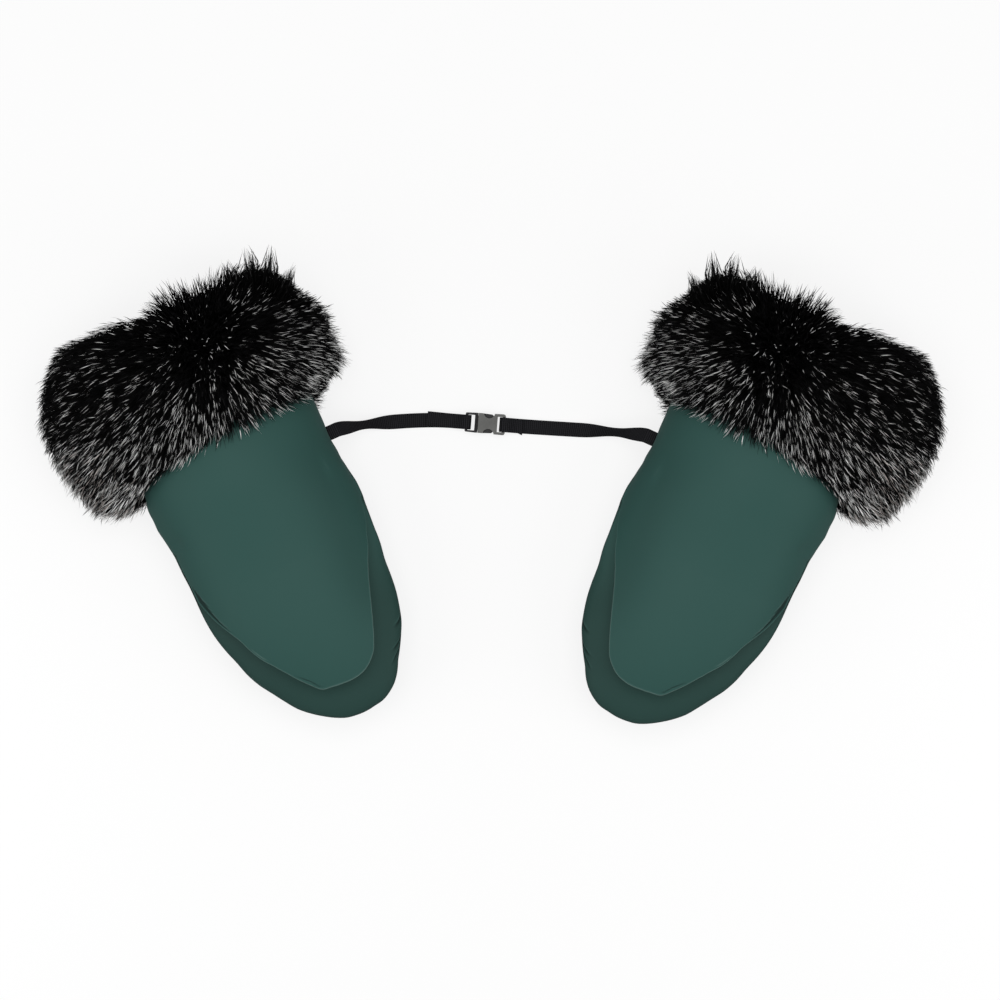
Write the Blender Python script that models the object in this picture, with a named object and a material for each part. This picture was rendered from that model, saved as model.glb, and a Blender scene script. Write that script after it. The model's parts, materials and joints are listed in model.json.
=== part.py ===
# A pair of padded pram mitts with fur cuffs, joined by a webbing strap with a side-release buckle.
# Metres, +Z up. The pair lies on its back, palms down, with the tips towards -Y.
# Each mitt is a clamshell: a deep back panel whose lip runs round the tip, a fixed front panel at the
# wrist, and a front flap that opens at the knuckles, so that the mitt closes round a handlebar.
# In a mitt's own frame, x runs outward from the pair, y from the tip to the mouth, and z up.

import math

import bmesh
import bpy
from mathutils import Matrix, Vector

# Fits
seat_gap = 0.0003
cut_overrun = 0.002

# Where the mitts lie
mitt_tilt_deg = 24.3
tip_spacing = 0.1911
tip_y = -0.1621
mitt_stagger = 0.0042

# The padded body of a mitt
half_width = 0.068
tip_length = 0.115
mouth_y = 0.310
seam_height = 0.032
belly_share = 1.35
crest_height = 0.070
crest_rise = 0.014
crest_rise_start = 0.100
crest_rise_run = 0.100

# How far the middle line of a mitt leans inward at its tip and outward at its wrist
tip_lean = 0.0085
tip_lean_run = 0.100
wrist_lean = 0.0035
wrist_lean_start = 0.157
wrist_lean_run = 0.036

# Where the back lifts off the floor to make room for the fur under it
cuff_lift = 0.012
cuff_lift_start = 0.158
cuff_lift_run = 0.034

# Layers, from the outside in
fabric_thickness = 0.0008
back_wadding_thickness = 0.007
front_wadding_thickness = 0.005
lining_thickness = 0.0014

# The flap, its fold line, its edge and the lip of the back panel under it
hinge_y = 0.157
flap_edge_deg = 38.5
flap_corner_deg = 10.0
inner_edge_run = 0.062
outer_edge_run = 0.098
lip_overlap_deg = 15.0
bar_slit_length = 0.024
bar_slit_ramp = 0.007
lip_start_run = 0.020
ledge_share = 0.7

# Hook and loop tapes between lip and flap
tape_thickness = 0.0012
tape_margin_share = 0.14
tape_first_steps = {"tip": 5, "outer": 1, "inner": 9}
tape_steps = 2

# Fineness of the panels
tip_steps = 12
crown_steps = 10
flap_crown_steps = 3
back_angles_deg = (-30.0, -14.0)

# Fur cuff
cuff_half_width = 0.103
cuff_shift = 0.011
cuff_top = 0.108
cuff_low_y = 0.2065
cuff_side_drop = 0.004
cuff_low_slant = 0.0075
cuff_tuck = 0.007
cuff_high_y = 0.322
cuff_under_share = 1.6
cuff_press = 0.0015
cuff_profile_shares = (
    (0.00, 0.30), (0.05, 0.64), (0.20, 0.92), (0.43, 1.00), (0.70, 0.94), (0.91, 0.70), (1.00, 0.36))
tuft_share = 0.022
tufts_round = 9
tuft_turn_deg = 70.0

# Binding round the mouth
binding_width = 0.0022

# Webbing
webbing_width = 0.0103
webbing_thickness = 0.0013
webbing_lie = 0.0001
fold_gap = 0.0004
strap_y = 0.1885
strap_lead = 0.006
strap_swing = 0.006
strap_straight = 0.030
strap_twist_deg = 56.0
strap_twist_shares = (0.06, 0.66)
strap_drop_share = 0.55
strap_steps = 18
wrap_steps = 8
fold_run = 0.010
plug_tail = 0.028
socket_tail = 0.014

# Buckle, in its own frame: x towards the socket, y across, z up, from its middle
buckle_x = -0.0037
buckle_y = 0.0455
buckle_turn_deg = -4.5
buckle_height = 0.0066
buckle_half_width = 0.0070
socket_mouth_x = -0.0057
socket_end_x = 0.0132
socket_wall = 0.0013
socket_cavity_half_width = 0.0056
socket_cavity_end_x = 0.0060
waist_x = 0.0017
waist_half_width = 0.0041
waist_half_length = 0.0029
waist_shares = (
    (-1.00, 0.00), (-0.90, 0.55), (-0.58, 0.86), (0.00, 1.00), (0.58, 0.86), (0.90, 0.55), (1.00, 0.00))
bar_length = 0.0020
bar_height = 0.0022
eye_half_width = 0.0057
socket_eye_length = 0.0037
plug_end_x = -0.0151
plug_thickness = 0.0034
plug_eye_length = 0.0052
plug_half_width = 0.0066
tongue_half_width = 0.0013
tongue_end_x = 0.0008
prong_inner_y = 0.0032
prong_thickness = 0.0014
prong_catch_x = -0.0006
prong_catch_y = 0.0067
prong_nose_x = 0.0054
prong_slope_shares = (0.38, 0.62)
soft_edge = 0.0004
fine_edge = 0.0002


for thing in list(bpy.data.objects):
    bpy.data.objects.remove(thing, do_unlink=True)


def smooth(share):
    """Eases from 0 to 1 as share goes from 0 to 1."""
    share = min(max(share, 0.0), 1.0)
    return share * share * (3 - 2 * share)


def between(a, b, share):
    return tuple(p + (q - p) * share for p, q in zip(a, b))


def finish_of(name, colour, roughness, metallic=0.0):
    made = bpy.data.materials.new(name)
    made.use_nodes = True
    shader = made.node_tree.nodes["Principled BSDF"]
    shader.inputs["Base Color"].default_value = (*colour, 1.0)
    shader.inputs["Roughness"].default_value = roughness
    shader.inputs["Metallic"].default_value = metallic
    return made


def add_empty(name, parent, place, turn=0.0):
    empty = bpy.data.objects.new(name, None)
    bpy.context.scene.collection.objects.link(empty)
    empty.parent = parent
    empty.location = place
    empty.rotation_euler = (0.0, 0.0, turn)
    return empty


def add_piece(name, mesh, finish, parent, origin=(0.0, 0.0, 0.0)):
    """Makes a closed bmesh an object, with origin as the object's own origin in the parent's frame."""
    bmesh.ops.remove_doubles(mesh, verts=mesh.verts, dist=seat_gap / 100)
    bmesh.ops.dissolve_degenerate(mesh, edges=mesh.edges, dist=seat_gap / 100)
    bmesh.ops.triangulate(mesh, faces=[f for f in mesh.faces if len(f.verts) > 4])
    bmesh.ops.recalc_face_normals(mesh, faces=mesh.faces)
    bmesh.ops.translate(mesh, verts=mesh.verts, vec=-Vector(origin))
    data = bpy.data.meshes.new(name)
    mesh.to_mesh(data)
    mesh.free()
    piece = bpy.data.objects.new(name, data)
    bpy.context.scene.collection.objects.link(piece)
    piece.parent = parent
    piece.location = origin
    data.materials.append(finish)
    data.shade_smooth()
    data.set_sharp_from_angle(angle=math.radians(40))
    return piece


def quad(mesh, a, b, c, d):
    corners = [v for i, v in enumerate((a, b, c, d)) if v not in (a, b, c, d)[:i]]
    mesh.faces.new(corners)


def sheet_solid(outer, inner, mirror, low_wall=True):
    """A wall between two grids of points. Grids hold columns of rows; low_wall closes the first row."""
    mesh = bmesh.new()
    grids = [
        [[mesh.verts.new((mirror * x, y, z)) for x, y, z in column] for column in grid]
        for grid in (outer, inner)
    ]
    columns = len(outer)
    rows = len(outer[0])
    for grid in grids:
        for j in range(columns - 1):
            for i in range(rows - 1):
                quad(mesh, grid[j][i], grid[j + 1][i], grid[j + 1][i + 1], grid[j][i + 1])
    out, back = grids
    for j in range(columns - 1):
        quad(mesh, out[j][-1], out[j + 1][-1], back[j + 1][-1], back[j][-1])
        if low_wall:
            quad(mesh, out[j][0], out[j + 1][0], back[j + 1][0], back[j][0])
    for i in range(rows - 1):
        for j in (0, -1):
            quad(mesh, out[j][i], out[j][i + 1], back[j][i + 1], back[j][i])
    return mesh


def ring_solid(rings, mirror=1):
    """A closed tube whose cross-sections are the rings, in order round the piece."""
    mesh = bmesh.new()
    made = [[mesh.verts.new((mirror * x, y, z)) for x, y, z in ring] for ring in rings]
    for ring, following in zip(made, made[1:] + made[:1]):
        for i, vertex in enumerate(ring):
            quad(mesh, ring[i - 1], vertex, following[i], following[i - 1])
    return mesh


# The mitt's surface

flat_deg = math.degrees(math.asin(1 / belly_share))
front_wall = fabric_thickness + front_wadding_thickness + lining_thickness + 2 * seat_gap
back_wall = fabric_thickness + back_wadding_thickness + lining_thickness + 2 * seat_gap
closure_space = 2 * tape_thickness + 3 * seat_gap
lip_sink = front_wall + closure_space


def side_station(side, y):
    """A place on the straight side, at y. side is 1 outward and -1 inward."""
    return (float(side), 0.0, y)


def tip_station(turn_deg):
    """A place round the tip: 0 is outward, 90 the tip and 180 inward."""
    turn = math.radians(turn_deg)
    return (math.cos(turn), math.sin(turn), tip_length)


def floor_at(y):
    return cuff_lift * smooth((y - cuff_lift_start) / cuff_lift_run)


def crest_at(y):
    return crest_height + crest_rise * smooth((y - crest_rise_start) / crest_rise_run)


def lean_at(y):
    return tip_lean * max(0.0, 1 - y / tip_lean_run) ** 2 - wrist_lean * smooth((y - wrist_lean_start) / wrist_lean_run)


def on_mitt(station, angle_deg, inset, rise=0.0):
    """A point on the padded body: angle 0 is the side seam, 90 the crest and -90 the middle of the back."""
    across, along, y = station
    angle = math.radians(angle_deg)
    reach = math.cos(angle)
    if angle >= 0:
        z = seam_height + rise + (crest_at(y) - seam_height - inset) * math.sin(angle)
    else:
        depth = seam_height - floor_at(y)
        z = seam_height - min(depth - inset, (depth * belly_share - inset) * math.sin(-angle))
    y -= along * (tip_length - inset) * reach
    return (across * (half_width - inset) * reach - lean_at(y), y, z)


def across_from(point):
    """The point's partner on the other side of the mitt's middle line."""
    x, y, z = point
    return (-x - 2 * lean_at(y), y, z)


def run_from_fold(station):
    across, along, y = station
    return hinge_y - (y - along * tip_length)


def edge_deg(station):
    """The angle at which the flap's edge lies."""
    run = outer_edge_run if station[0] > 0 else inner_edge_run
    return flap_corner_deg + (flap_edge_deg - flap_corner_deg) * smooth(run_from_fold(station) / run)


def lip_share(station):
    return smooth((run_from_fold(station) - bar_slit_length) / lip_start_run)


def lip_rows(station):
    """(angle, sink) of the back panel's rows above the seam, which pass under the flap's edge."""
    if run_from_fold(station) < bar_slit_length - seat_gap:
        return [(0.0, 0.0)] * 4
    edge, share = edge_deg(station), lip_share(station)
    ledge = ledge_share * edge
    return [(ledge / 2, lip_sink / 2), (ledge, lip_sink),
            (ledge + (edge - ledge) * share, lip_sink),
            (ledge + (edge + lip_overlap_deg - ledge) * share, lip_sink)]


strap_slot_drop = webbing_thickness + seat_gap
slot_half = webbing_width / 2 + seat_gap
slot_corner = slot_half + 2 * seat_gap


def back_stations():
    """From the mouth's outward side round the tip to its inward side, with the same y on both sides."""
    straight = [mouth_y, strap_y + slot_corner, strap_y + slot_half, strap_y - slot_half,
                strap_y - slot_corner, (hinge_y + strap_y - slot_corner) / 2, hinge_y,
                hinge_y - bar_slit_length + bar_slit_ramp, hinge_y - bar_slit_length]
    tip = [tip_station(180.0 * k / tip_steps) for k in range(tip_steps + 1)]
    outer = [side_station(1, y) for y in straight]
    inner = [side_station(-1, y) for y in reversed(straight)]
    return outer + tip + inner


def back_column(station, inset):
    angles = (-90.0, -flat_deg, *back_angles_deg)
    column = [on_mitt(station, angle, inset) for angle in angles]
    rim = [on_mitt(station, angle, inset + sink) for angle, sink in [(0.0, 0.0)] + lip_rows(station)]
    in_slot = station[0] == -1 and abs(station[2] - strap_y) < slot_half + seat_gap
    drop = strap_slot_drop if in_slot else 0.0
    return column + [(x, y, z - drop) for x, y, z in rim]


def back_layer(name, inset, thickness, finish, side, parent):
    grids = [[back_column(station, depth) for station in back_stations()]
             for depth in (inset, inset + thickness)]
    return add_piece(name, sheet_solid(*grids, side, low_wall=False), finish, parent)


def front_layer(name, inset, thickness, finish, side, parent):
    def column(y, depth):
        half = [on_mitt(side_station(1, y), 180.0 * k / crown_steps, depth, seat_gap)
                for k in range(crown_steps // 2 + 1)]
        return half + [across_from(p) for p in reversed(half[:-1])]
    rows_y = (hinge_y + seat_gap / 2, (hinge_y + strap_y - slot_corner) / 2, strap_y - slot_corner,
              strap_y + slot_corner, crest_rise_start + crest_rise_run, mouth_y)
    grids = [[column(y, depth) for y in rows_y] for depth in (inset, inset + thickness)]
    return add_piece(name, sheet_solid(*grids, side), finish, parent)


def flap_stations():
    straight = (hinge_y - seat_gap / 2, hinge_y - bar_slit_length)
    tip = [tip_station(180.0 * k / tip_steps) for k in range(tip_steps + 1)]
    outer = [side_station(1, y) for y in straight]
    inner = [side_station(-1, y) for y in reversed(straight)]
    return outer + tip + inner


def flap_column(station, inset):
    edge = edge_deg(station)
    crown = edge + lip_overlap_deg
    angles = [edge] + [crown + (90.0 - crown) * k / flap_crown_steps for k in range(flap_crown_steps + 1)]
    return [on_mitt(station, angle, inset, seat_gap) for angle in angles]


def flap_layer(name, inset, thickness, finish, side, hinge):
    grids = [[list(reversed(flap_column(station, depth))) for station in flap_stations()]
             for depth in (inset, inset + thickness)]
    return add_piece(name, sheet_solid(*grids, side, low_wall=False), finish, hinge.parent, hinge.location)


def tape(name, first_step, inset, rise, finish, side, parent, origin=(0.0, 0.0, 0.0)):
    """A strip of tape on the lip or on the flap's lining, inset and one tape thickness deeper."""
    def column(station, depth):
        edge = edge_deg(station)
        low = on_mitt(station, edge, depth, rise)
        high = on_mitt(station, edge + lip_overlap_deg, depth, rise)
        return [between(low, high, tape_margin_share), between(low, high, 1 - tape_margin_share)]
    steps = range(first_step, first_step + tape_steps + 1)
    grids = [[column(tip_station(180.0 * k / tip_steps), depth) for k in steps]
             for depth in (inset, inset + tape_thickness)]
    return add_piece(name, sheet_solid(*grids, side), finish, parent, origin)


def tube_outline(y, front_inset, back_inset):
    """(point, angle) round the wrist, from the outward seam over the crest and back under."""
    top = [(on_mitt(side_station(1, y), 180.0 * k / crown_steps, front_inset, seat_gap), 180.0 * k / crown_steps)
           for k in range(crown_steps // 2 + 1)]
    under = [(on_mitt(side_station(1, y), angle, back_inset), angle)
             for angle in (-90.0, -flat_deg, *back_angles_deg)]
    top += [(across_from(p), 180.0 - angle) for p, angle in reversed(top[:-1])]
    far_under = [(across_from(p), -180.0 - angle) for p, angle in reversed(under[1:])]
    return top + [(p, angle + 360.0) for p, angle in far_under + under]


def halved(outline):
    """The outline with a point added half way along each side."""
    closing = outline[1:] + [(outline[0][0], outline[0][1] + 360.0)]
    finer = []
    for (a, turn_a), (b, turn_b) in zip(outline, closing):
        finer += [(a, turn_a), (between(a, b, 0.5), (turn_a + turn_b) / 2)]
    return finer


def fur_cuff(name, finish, side, parent):
    rings = []
    for (x, _, z), turn_deg in halved(tube_outline(mouth_y, -seat_gap, -seat_gap)):
        turn = math.radians(turn_deg)
        low = cuff_low_y - cuff_low_slant * math.cos(turn) - cuff_side_drop * math.cos(turn) ** 2
        ring = [(x, low + cuff_tuck, z)]
        for k, (along, out) in enumerate(cuff_profile_shares):
            tuft = 1 + tuft_share * math.sin(tufts_round * turn + k * math.radians(tuft_turn_deg))
            far_x = cuff_shift + cuff_half_width * tuft * math.cos(turn)
            if math.sin(turn) >= 0:
                far_z = seam_height + (cuff_top - seam_height) * tuft * math.sin(turn)
            else:
                sag = (seam_height + cuff_press) * min(1.0, -cuff_under_share * math.sin(turn))
                far_z = seam_height - sag
            ring.append((x + (far_x - x) * out, low + (cuff_high_y - low) * along,
                         max(0.0, z + (far_z - z) * out)))
        ring.append((x, mouth_y, z))
        rings.append(ring)
    return add_piece(name, ring_solid(rings, side), finish, parent)


def mouth_binding(name, finish, side, parent):
    outer = tube_outline(mouth_y, 0.0, 0.0)
    inner = tube_outline(mouth_y, front_wall, back_wall)
    near = mouth_y + seat_gap
    far = near + binding_width
    rings = [[(a[0], near, a[2]), (a[0], far, a[2]), (b[0], far, b[2]), (b[0], near, b[2])]
             for (a, _), (b, _) in zip(outer, inner)]
    return add_piece(name, ring_solid(rings, side), finish, parent)


# Webbing

webbing_low = webbing_thickness / 2 + webbing_lie
wrap_radius = math.hypot(bar_length, bar_height) / 2 + seat_gap + webbing_thickness / 2
buckle_mid = buckle_height / 2


def tip_place(side):
    """Where a mitt's own frame starts: the right mitt lies a little lower than the left."""
    return Vector((side * tip_spacing / 2, tip_y - side * mitt_stagger / 2, 0.0))


def in_buckle(x, y, z):
    """A point of the buckle's frame in the pair's."""
    turn = Matrix.Rotation(math.radians(buckle_turn_deg), 3, "Z")
    return Vector((buckle_x, buckle_y, 0.0)) + turn @ Vector((x, y, z))


def in_pair(side, x, y, z):
    """A point of a mitt's frame in the pair's."""
    turn = Matrix.Rotation(-side * math.radians(mitt_tilt_deg), 3, "Z")
    return tip_place(side) + turn @ Vector((side * x, y, z))


def strap_route(side, bar_x, tail):
    """Points and width directions of one half of the strap, from the mitt's seam to the end of its tail."""
    seam_z = seam_height - webbing_thickness / 2
    across = in_pair(side, 0.0, 1.0, 0.0) - in_pair(side, 0.0, 0.0, 0.0)
    seam_x = -half_width - lean_at(strap_y)
    starts = [in_pair(side, x, strap_y, seam_z) for x in (seam_x + back_wall, seam_x)]
    lead_end = in_pair(side, seam_x - strap_lead, strap_y, seam_z)
    away = in_pair(side, -1.0, 0.0, 0.0) - in_pair(side, 0.0, 0.0, 0.0)
    fold_start = in_buckle(bar_x + side * fold_run, 0.0, webbing_low)
    axis = in_buckle(side, 0.0, 0.0) - in_buckle(0.0, 0.0, 0.0)
    buckle_across = in_buckle(0.0, 1.0, 0.0) - in_buckle(0.0, 0.0, 0.0)
    route = [(p, across) for p in starts]
    corners = (lead_end, lead_end + away * strap_swing, fold_start + axis * strap_straight, fold_start)
    twist_from, twist_to = strap_twist_shares
    for k in range(strap_steps):
        share = k / strap_steps
        rest = 1 - share
        weights = (rest ** 3, 3 * rest * rest * share, 3 * rest * share * share, share ** 3)
        place = sum((c * w for c, w in zip(corners, weights)), Vector())
        turned = (share - twist_from) / (twist_to - twist_from)
        roll = math.radians(strap_twist_deg) * math.sin(math.pi * min(max(turned, 0.0), 1.0)) ** 2
        drop = smooth(share / strap_drop_share)
        place.z = seam_z + (webbing_low - seam_z) * drop + webbing_width / 2 * math.sin(roll) * drop
        level = across.lerp(buckle_across, smooth(share))
        level = (level - Vector((0.0, 0.0, level.z))).normalized()
        route.append((place, level * math.cos(roll) + Vector((0.0, 0.0, math.sin(roll)))))
    route.append((fold_start, buckle_across))
    for k in range(wrap_steps + 1):
        turn = math.pi * k / wrap_steps
        route.append((in_buckle(bar_x - side * wrap_radius * math.sin(turn), 0.0,
                                buckle_mid - wrap_radius * math.cos(turn)), buckle_across))
    high_start = buckle_mid + wrap_radius
    high_end = webbing_low + webbing_thickness + fold_gap
    for k in (1, 2, 3, 4):
        share = k / 4
        z = high_start + (high_end - high_start) * smooth(share)
        route.append((in_buckle(bar_x + side * fold_run * share, 0.0, z), buckle_across))
    route.append((in_buckle(bar_x + side * tail, 0.0, high_end), buckle_across))
    return route


def strap(name, side, bar_x, tail, finish, parent):
    route = strap_route(side, bar_x, tail)
    mesh = bmesh.new()
    sections = []
    for k, (place, level) in enumerate(route):
        ahead = route[min(k + 1, len(route) - 1)][0] - route[max(k - 1, 0)][0]
        wide = level.normalized() * webbing_width / 2
        thick = wide.cross(ahead).normalized() * webbing_thickness / 2
        sections.append([mesh.verts.new(place + a * wide + b * thick)
                         for a, b in ((-1, -1), (1, -1), (1, 1), (-1, 1))])
    for a, b in zip(sections, sections[1:]):
        for i in range(4):
            mesh.faces.new((a[i - 1], a[i], b[i], b[i - 1]))
    mesh.faces.new(sections[0])
    mesh.faces.new(sections[-1])
    return add_piece(name, mesh, finish, parent)


# Buckle

def outline_solid(half_outline, low, high, mirrored=True):
    """Extrudes an outline, given as its upper half when mirrored, from z low to z high."""
    outline = list(half_outline)
    if mirrored:
        outline += [(x, -y) for x, y in reversed(half_outline)]
    mesh = bmesh.new()
    base = mesh.faces.new([mesh.verts.new((x, y, low)) for x, y in outline])
    raised = bmesh.ops.extrude_face_region(mesh, geom=[base])
    tops = [g for g in raised["geom"] if isinstance(g, bmesh.types.BMVert)]
    bmesh.ops.translate(mesh, verts=tops, vec=(0.0, 0.0, high - low))
    bmesh.ops.recalc_face_normals(mesh, faces=mesh.faces)
    return mesh


def block_mesh(low, high):
    mesh = bmesh.new()
    bmesh.ops.create_cube(mesh, size=1.0)
    size = Vector(high) - Vector(low)
    bmesh.ops.scale(mesh, verts=mesh.verts, vec=size)
    bmesh.ops.translate(mesh, verts=mesh.verts, vec=(Vector(high) + Vector(low)) / 2)
    return mesh


def round_edges(piece, width):
    bevel = piece.modifiers.new("rounded_edges", "BEVEL")
    bevel.width = width
    bevel.segments = 2
    bevel.limit_method = "ANGLE"
    bevel.angle_limit = math.radians(40)
    return bevel


def cut_away(piece, name, low, high):
    """Takes the block from low to high out of the piece."""
    cutter = add_piece(name, block_mesh(low, high), piece.data.materials[0], piece.parent)
    cutter.hide_render = True
    cutter.display_type = "WIRE"
    cut = piece.modifiers.new(name, "BOOLEAN")
    cut.operation = "DIFFERENCE"
    cut.solver = "EXACT"
    cut.object = cutter
    return cutter


def waisted_side():
    """The upper outline of the socket, from its mouth to its end, drawn in where the prongs show."""
    corner = 2 * soft_edge
    points = [(socket_mouth_x, buckle_half_width - corner), (socket_mouth_x + corner, buckle_half_width)]
    dip = buckle_half_width - waist_half_width
    for along, depth in waist_shares:
        points.append((waist_x + waist_half_length * along, buckle_half_width - dip * depth))
    points += [(socket_end_x - corner, buckle_half_width), (socket_end_x, buckle_half_width - corner)]
    return points


def add_socket(finish, parent):
    piece = add_piece("buckle_socket", outline_solid(waisted_side(), 0.0, buckle_height), finish, parent)
    round_edges(piece, soft_edge)
    bar_x = socket_end_x - bar_length
    cut_away(piece, "socket_cavity_cut",
             (socket_mouth_x - cut_overrun, -socket_cavity_half_width, socket_wall),
             (socket_cavity_end_x, socket_cavity_half_width, buckle_height - socket_wall))
    cut_away(piece, "socket_eye_cut", (bar_x - socket_eye_length, -eye_half_width, -cut_overrun),
             (bar_x, eye_half_width, buckle_height + cut_overrun))
    cut_away(piece, "socket_bar_top_cut", (bar_x - cut_overrun / 2, -eye_half_width, buckle_mid + bar_height / 2),
             (socket_end_x + cut_overrun, eye_half_width, buckle_height + cut_overrun))
    cut_away(piece, "socket_bar_under_cut", (bar_x - cut_overrun / 2, -eye_half_width, -cut_overrun),
             (socket_end_x + cut_overrun, eye_half_width, buckle_mid - bar_height / 2))
    return piece


def add_plug(finish, parent):
    root_x = socket_mouth_x - seat_gap
    corner = 2 * soft_edge
    half = [(plug_end_x, plug_half_width - corner), (plug_end_x + corner, plug_half_width),
            (root_x, plug_half_width), (root_x, tongue_half_width),
            (tongue_end_x - corner, tongue_half_width), (tongue_end_x, tongue_half_width - soft_edge)]
    low = buckle_mid - plug_thickness / 2
    high = buckle_mid + plug_thickness / 2
    piece = add_piece("buckle_plug", outline_solid(half, low, high), finish, parent)
    round_edges(piece, fine_edge)
    bar_x = plug_end_x + bar_length
    cut_away(piece, "plug_eye_cut", (bar_x, -eye_half_width, -cut_overrun),
             (bar_x + plug_eye_length, eye_half_width, buckle_height + cut_overrun))
    cut_away(piece, "plug_bar_top_cut", (plug_end_x - cut_overrun, -eye_half_width, buckle_mid + bar_height / 2),
             (bar_x + cut_overrun / 2, eye_half_width, buckle_height + cut_overrun))
    cut_away(piece, "plug_bar_under_cut", (plug_end_x - cut_overrun, -eye_half_width, -cut_overrun),
             (bar_x + cut_overrun / 2, eye_half_width, buckle_mid - bar_height / 2))
    return piece


def add_prong(name, across, finish, parent):
    """A springing arm of the plug, with the catch and its thumb face in the socket's waist."""
    root_x = socket_mouth_x
    outer_y = prong_inner_y + prong_thickness
    reach = prong_nose_x - prong_catch_x
    slope_from, slope_to = prong_slope_shares
    outline = [
        (root_x, prong_inner_y), (root_x, outer_y),
        (prong_catch_x, outer_y), (prong_catch_x, prong_catch_y),
        (prong_catch_x + slope_from * reach, prong_catch_y),
        (prong_catch_x + slope_to * reach, (prong_catch_y + outer_y) / 2),
        (prong_nose_x - soft_edge, outer_y - soft_edge),
        (prong_nose_x, (prong_inner_y + outer_y) / 2), (prong_nose_x - soft_edge, prong_inner_y)]
    points = [(x, across * y) for x, y in outline]
    low = buckle_mid - plug_thickness / 2
    high = buckle_mid + plug_thickness / 2
    pivot = add_empty(name + "_root", parent, (root_x, across * (prong_inner_y + prong_thickness / 2), buckle_mid))
    piece = add_piece(name, outline_solid(points, low, high, mirrored=False), finish, parent, pivot.location)
    round_edges(piece, fine_edge)
    return piece


# The pair

shell_fabric = finish_of("coated_fabric", (0.035, 0.083, 0.068), 0.45)
wadding = finish_of("polyester_wadding", (0.75, 0.75, 0.73), 0.9)
fleece = finish_of("fleece_lining", (0.03, 0.03, 0.032), 0.95)
fur = finish_of("fur_pile", (0.012, 0.012, 0.012), 0.9)
binding = finish_of("binding_tape", (0.012, 0.012, 0.013), 0.8)
hook_and_loop = finish_of("hook_and_loop_tape", (0.015, 0.015, 0.016), 0.85)
webbing = finish_of("webbing", (0.011, 0.011, 0.012), 0.75)
black_plastic = finish_of("black_acetal", (0.006, 0.006, 0.006), 0.45)
grey_plastic = finish_of("grey_acetal", (0.14, 0.14, 0.138), 0.45)

pair = add_empty("pair", None, (0.0, 0.0, 0.0))


def add_mitt(label, side):
    turn = -side * math.radians(mitt_tilt_deg)
    mitt = add_empty("mitt_" + label, pair, tip_place(side), turn)
    hinge = add_empty("flap_fold_" + label, mitt, (0.0, hinge_y, crest_at(hinge_y) + seat_gap))
    wadding_inset = fabric_thickness + seat_gap
    back_lining_inset = wadding_inset + back_wadding_thickness + seat_gap
    front_lining_inset = wadding_inset + front_wadding_thickness + seat_gap
    back_layer("back_panel_" + label, 0.0, fabric_thickness, shell_fabric, side, mitt)
    back_layer("back_wadding_" + label, wadding_inset, back_wadding_thickness, wadding, side, mitt)
    back_layer("back_lining_" + label, back_lining_inset, lining_thickness, fleece, side, mitt)
    front_layer("front_panel_" + label, 0.0, fabric_thickness, shell_fabric, side, mitt)
    front_layer("front_wadding_" + label, wadding_inset, front_wadding_thickness, wadding, side, mitt)
    front_layer("front_lining_" + label, front_lining_inset, lining_thickness, fleece, side, mitt)
    flap_layer("flap_panel_" + label, 0.0, fabric_thickness, shell_fabric, side, hinge)
    flap_layer("flap_wadding_" + label, wadding_inset, front_wadding_thickness, wadding, side, hinge)
    flap_layer("flap_lining_" + label, front_lining_inset, lining_thickness, fleece, side, hinge)
    for place, first_step in tape_first_steps.items():
        tape(f"hook_tape_{place}_{label}", first_step, lip_sink - seat_gap - tape_thickness, 0.0,
             hook_and_loop, side, mitt)
        tape(f"loop_tape_{place}_{label}", first_step, front_wall + seat_gap, seat_gap,
             hook_and_loop, side, mitt, hinge.location)
    fur_cuff("fur_cuff_" + label, fur, side, mitt)
    mouth_binding("mouth_binding_" + label, binding, side, mitt)
    return hinge


hinges = [add_mitt("left", -1), add_mitt("right", 1)]
strap("strap_left", -1, plug_end_x + bar_length / 2, plug_tail, webbing, pair)
strap("strap_right", 1, socket_end_x - bar_length / 2, socket_tail, webbing, pair)
buckle = add_empty("buckle", pair, (buckle_x, buckle_y, 0.0), math.radians(buckle_turn_deg))
add_socket(grey_plastic, buckle)
add_plug(black_plastic, buckle)
add_prong("latch_prong_upper", 1, black_plastic, buckle)
add_prong("latch_prong_lower", -1, black_plastic, buckle)


def whole_box():
    """The lowest and highest corners of all the pieces."""
    bpy.context.view_layer.update()
    shown = [o for o in bpy.data.objects if o.type == "MESH" and not o.hide_render]
    corners = [o.matrix_world @ v.co for o in shown for v in o.data.vertices]
    return [[pick(c[i] for c in corners) for i in range(3)] for pick in (min, max)]


# The origin is the bottom centre of the pair's box.
lowest, highest = whole_box()
pair.location = (-(lowest[0] + highest[0]) / 2, -(lowest[1] + highest[1]) / 2, -lowest[2])
print("pair from", *(round(x, 4) for x in lowest), "to", *(round(x, 4) for x in highest))
bpy.context.view_layer.update()
for hinge in hinges:
    print(hinge.name, tuple(round(x, 5) for x in hinge.matrix_world.translation))
for root in ("latch_prong_upper_root", "latch_prong_lower_root"):
    print(root, tuple(round(x, 5) for x in bpy.data.objects[root].matrix_world.translation))
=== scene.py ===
import json
import math

import bpy
import numpy as np
from mathutils import Matrix, Vector


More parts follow.
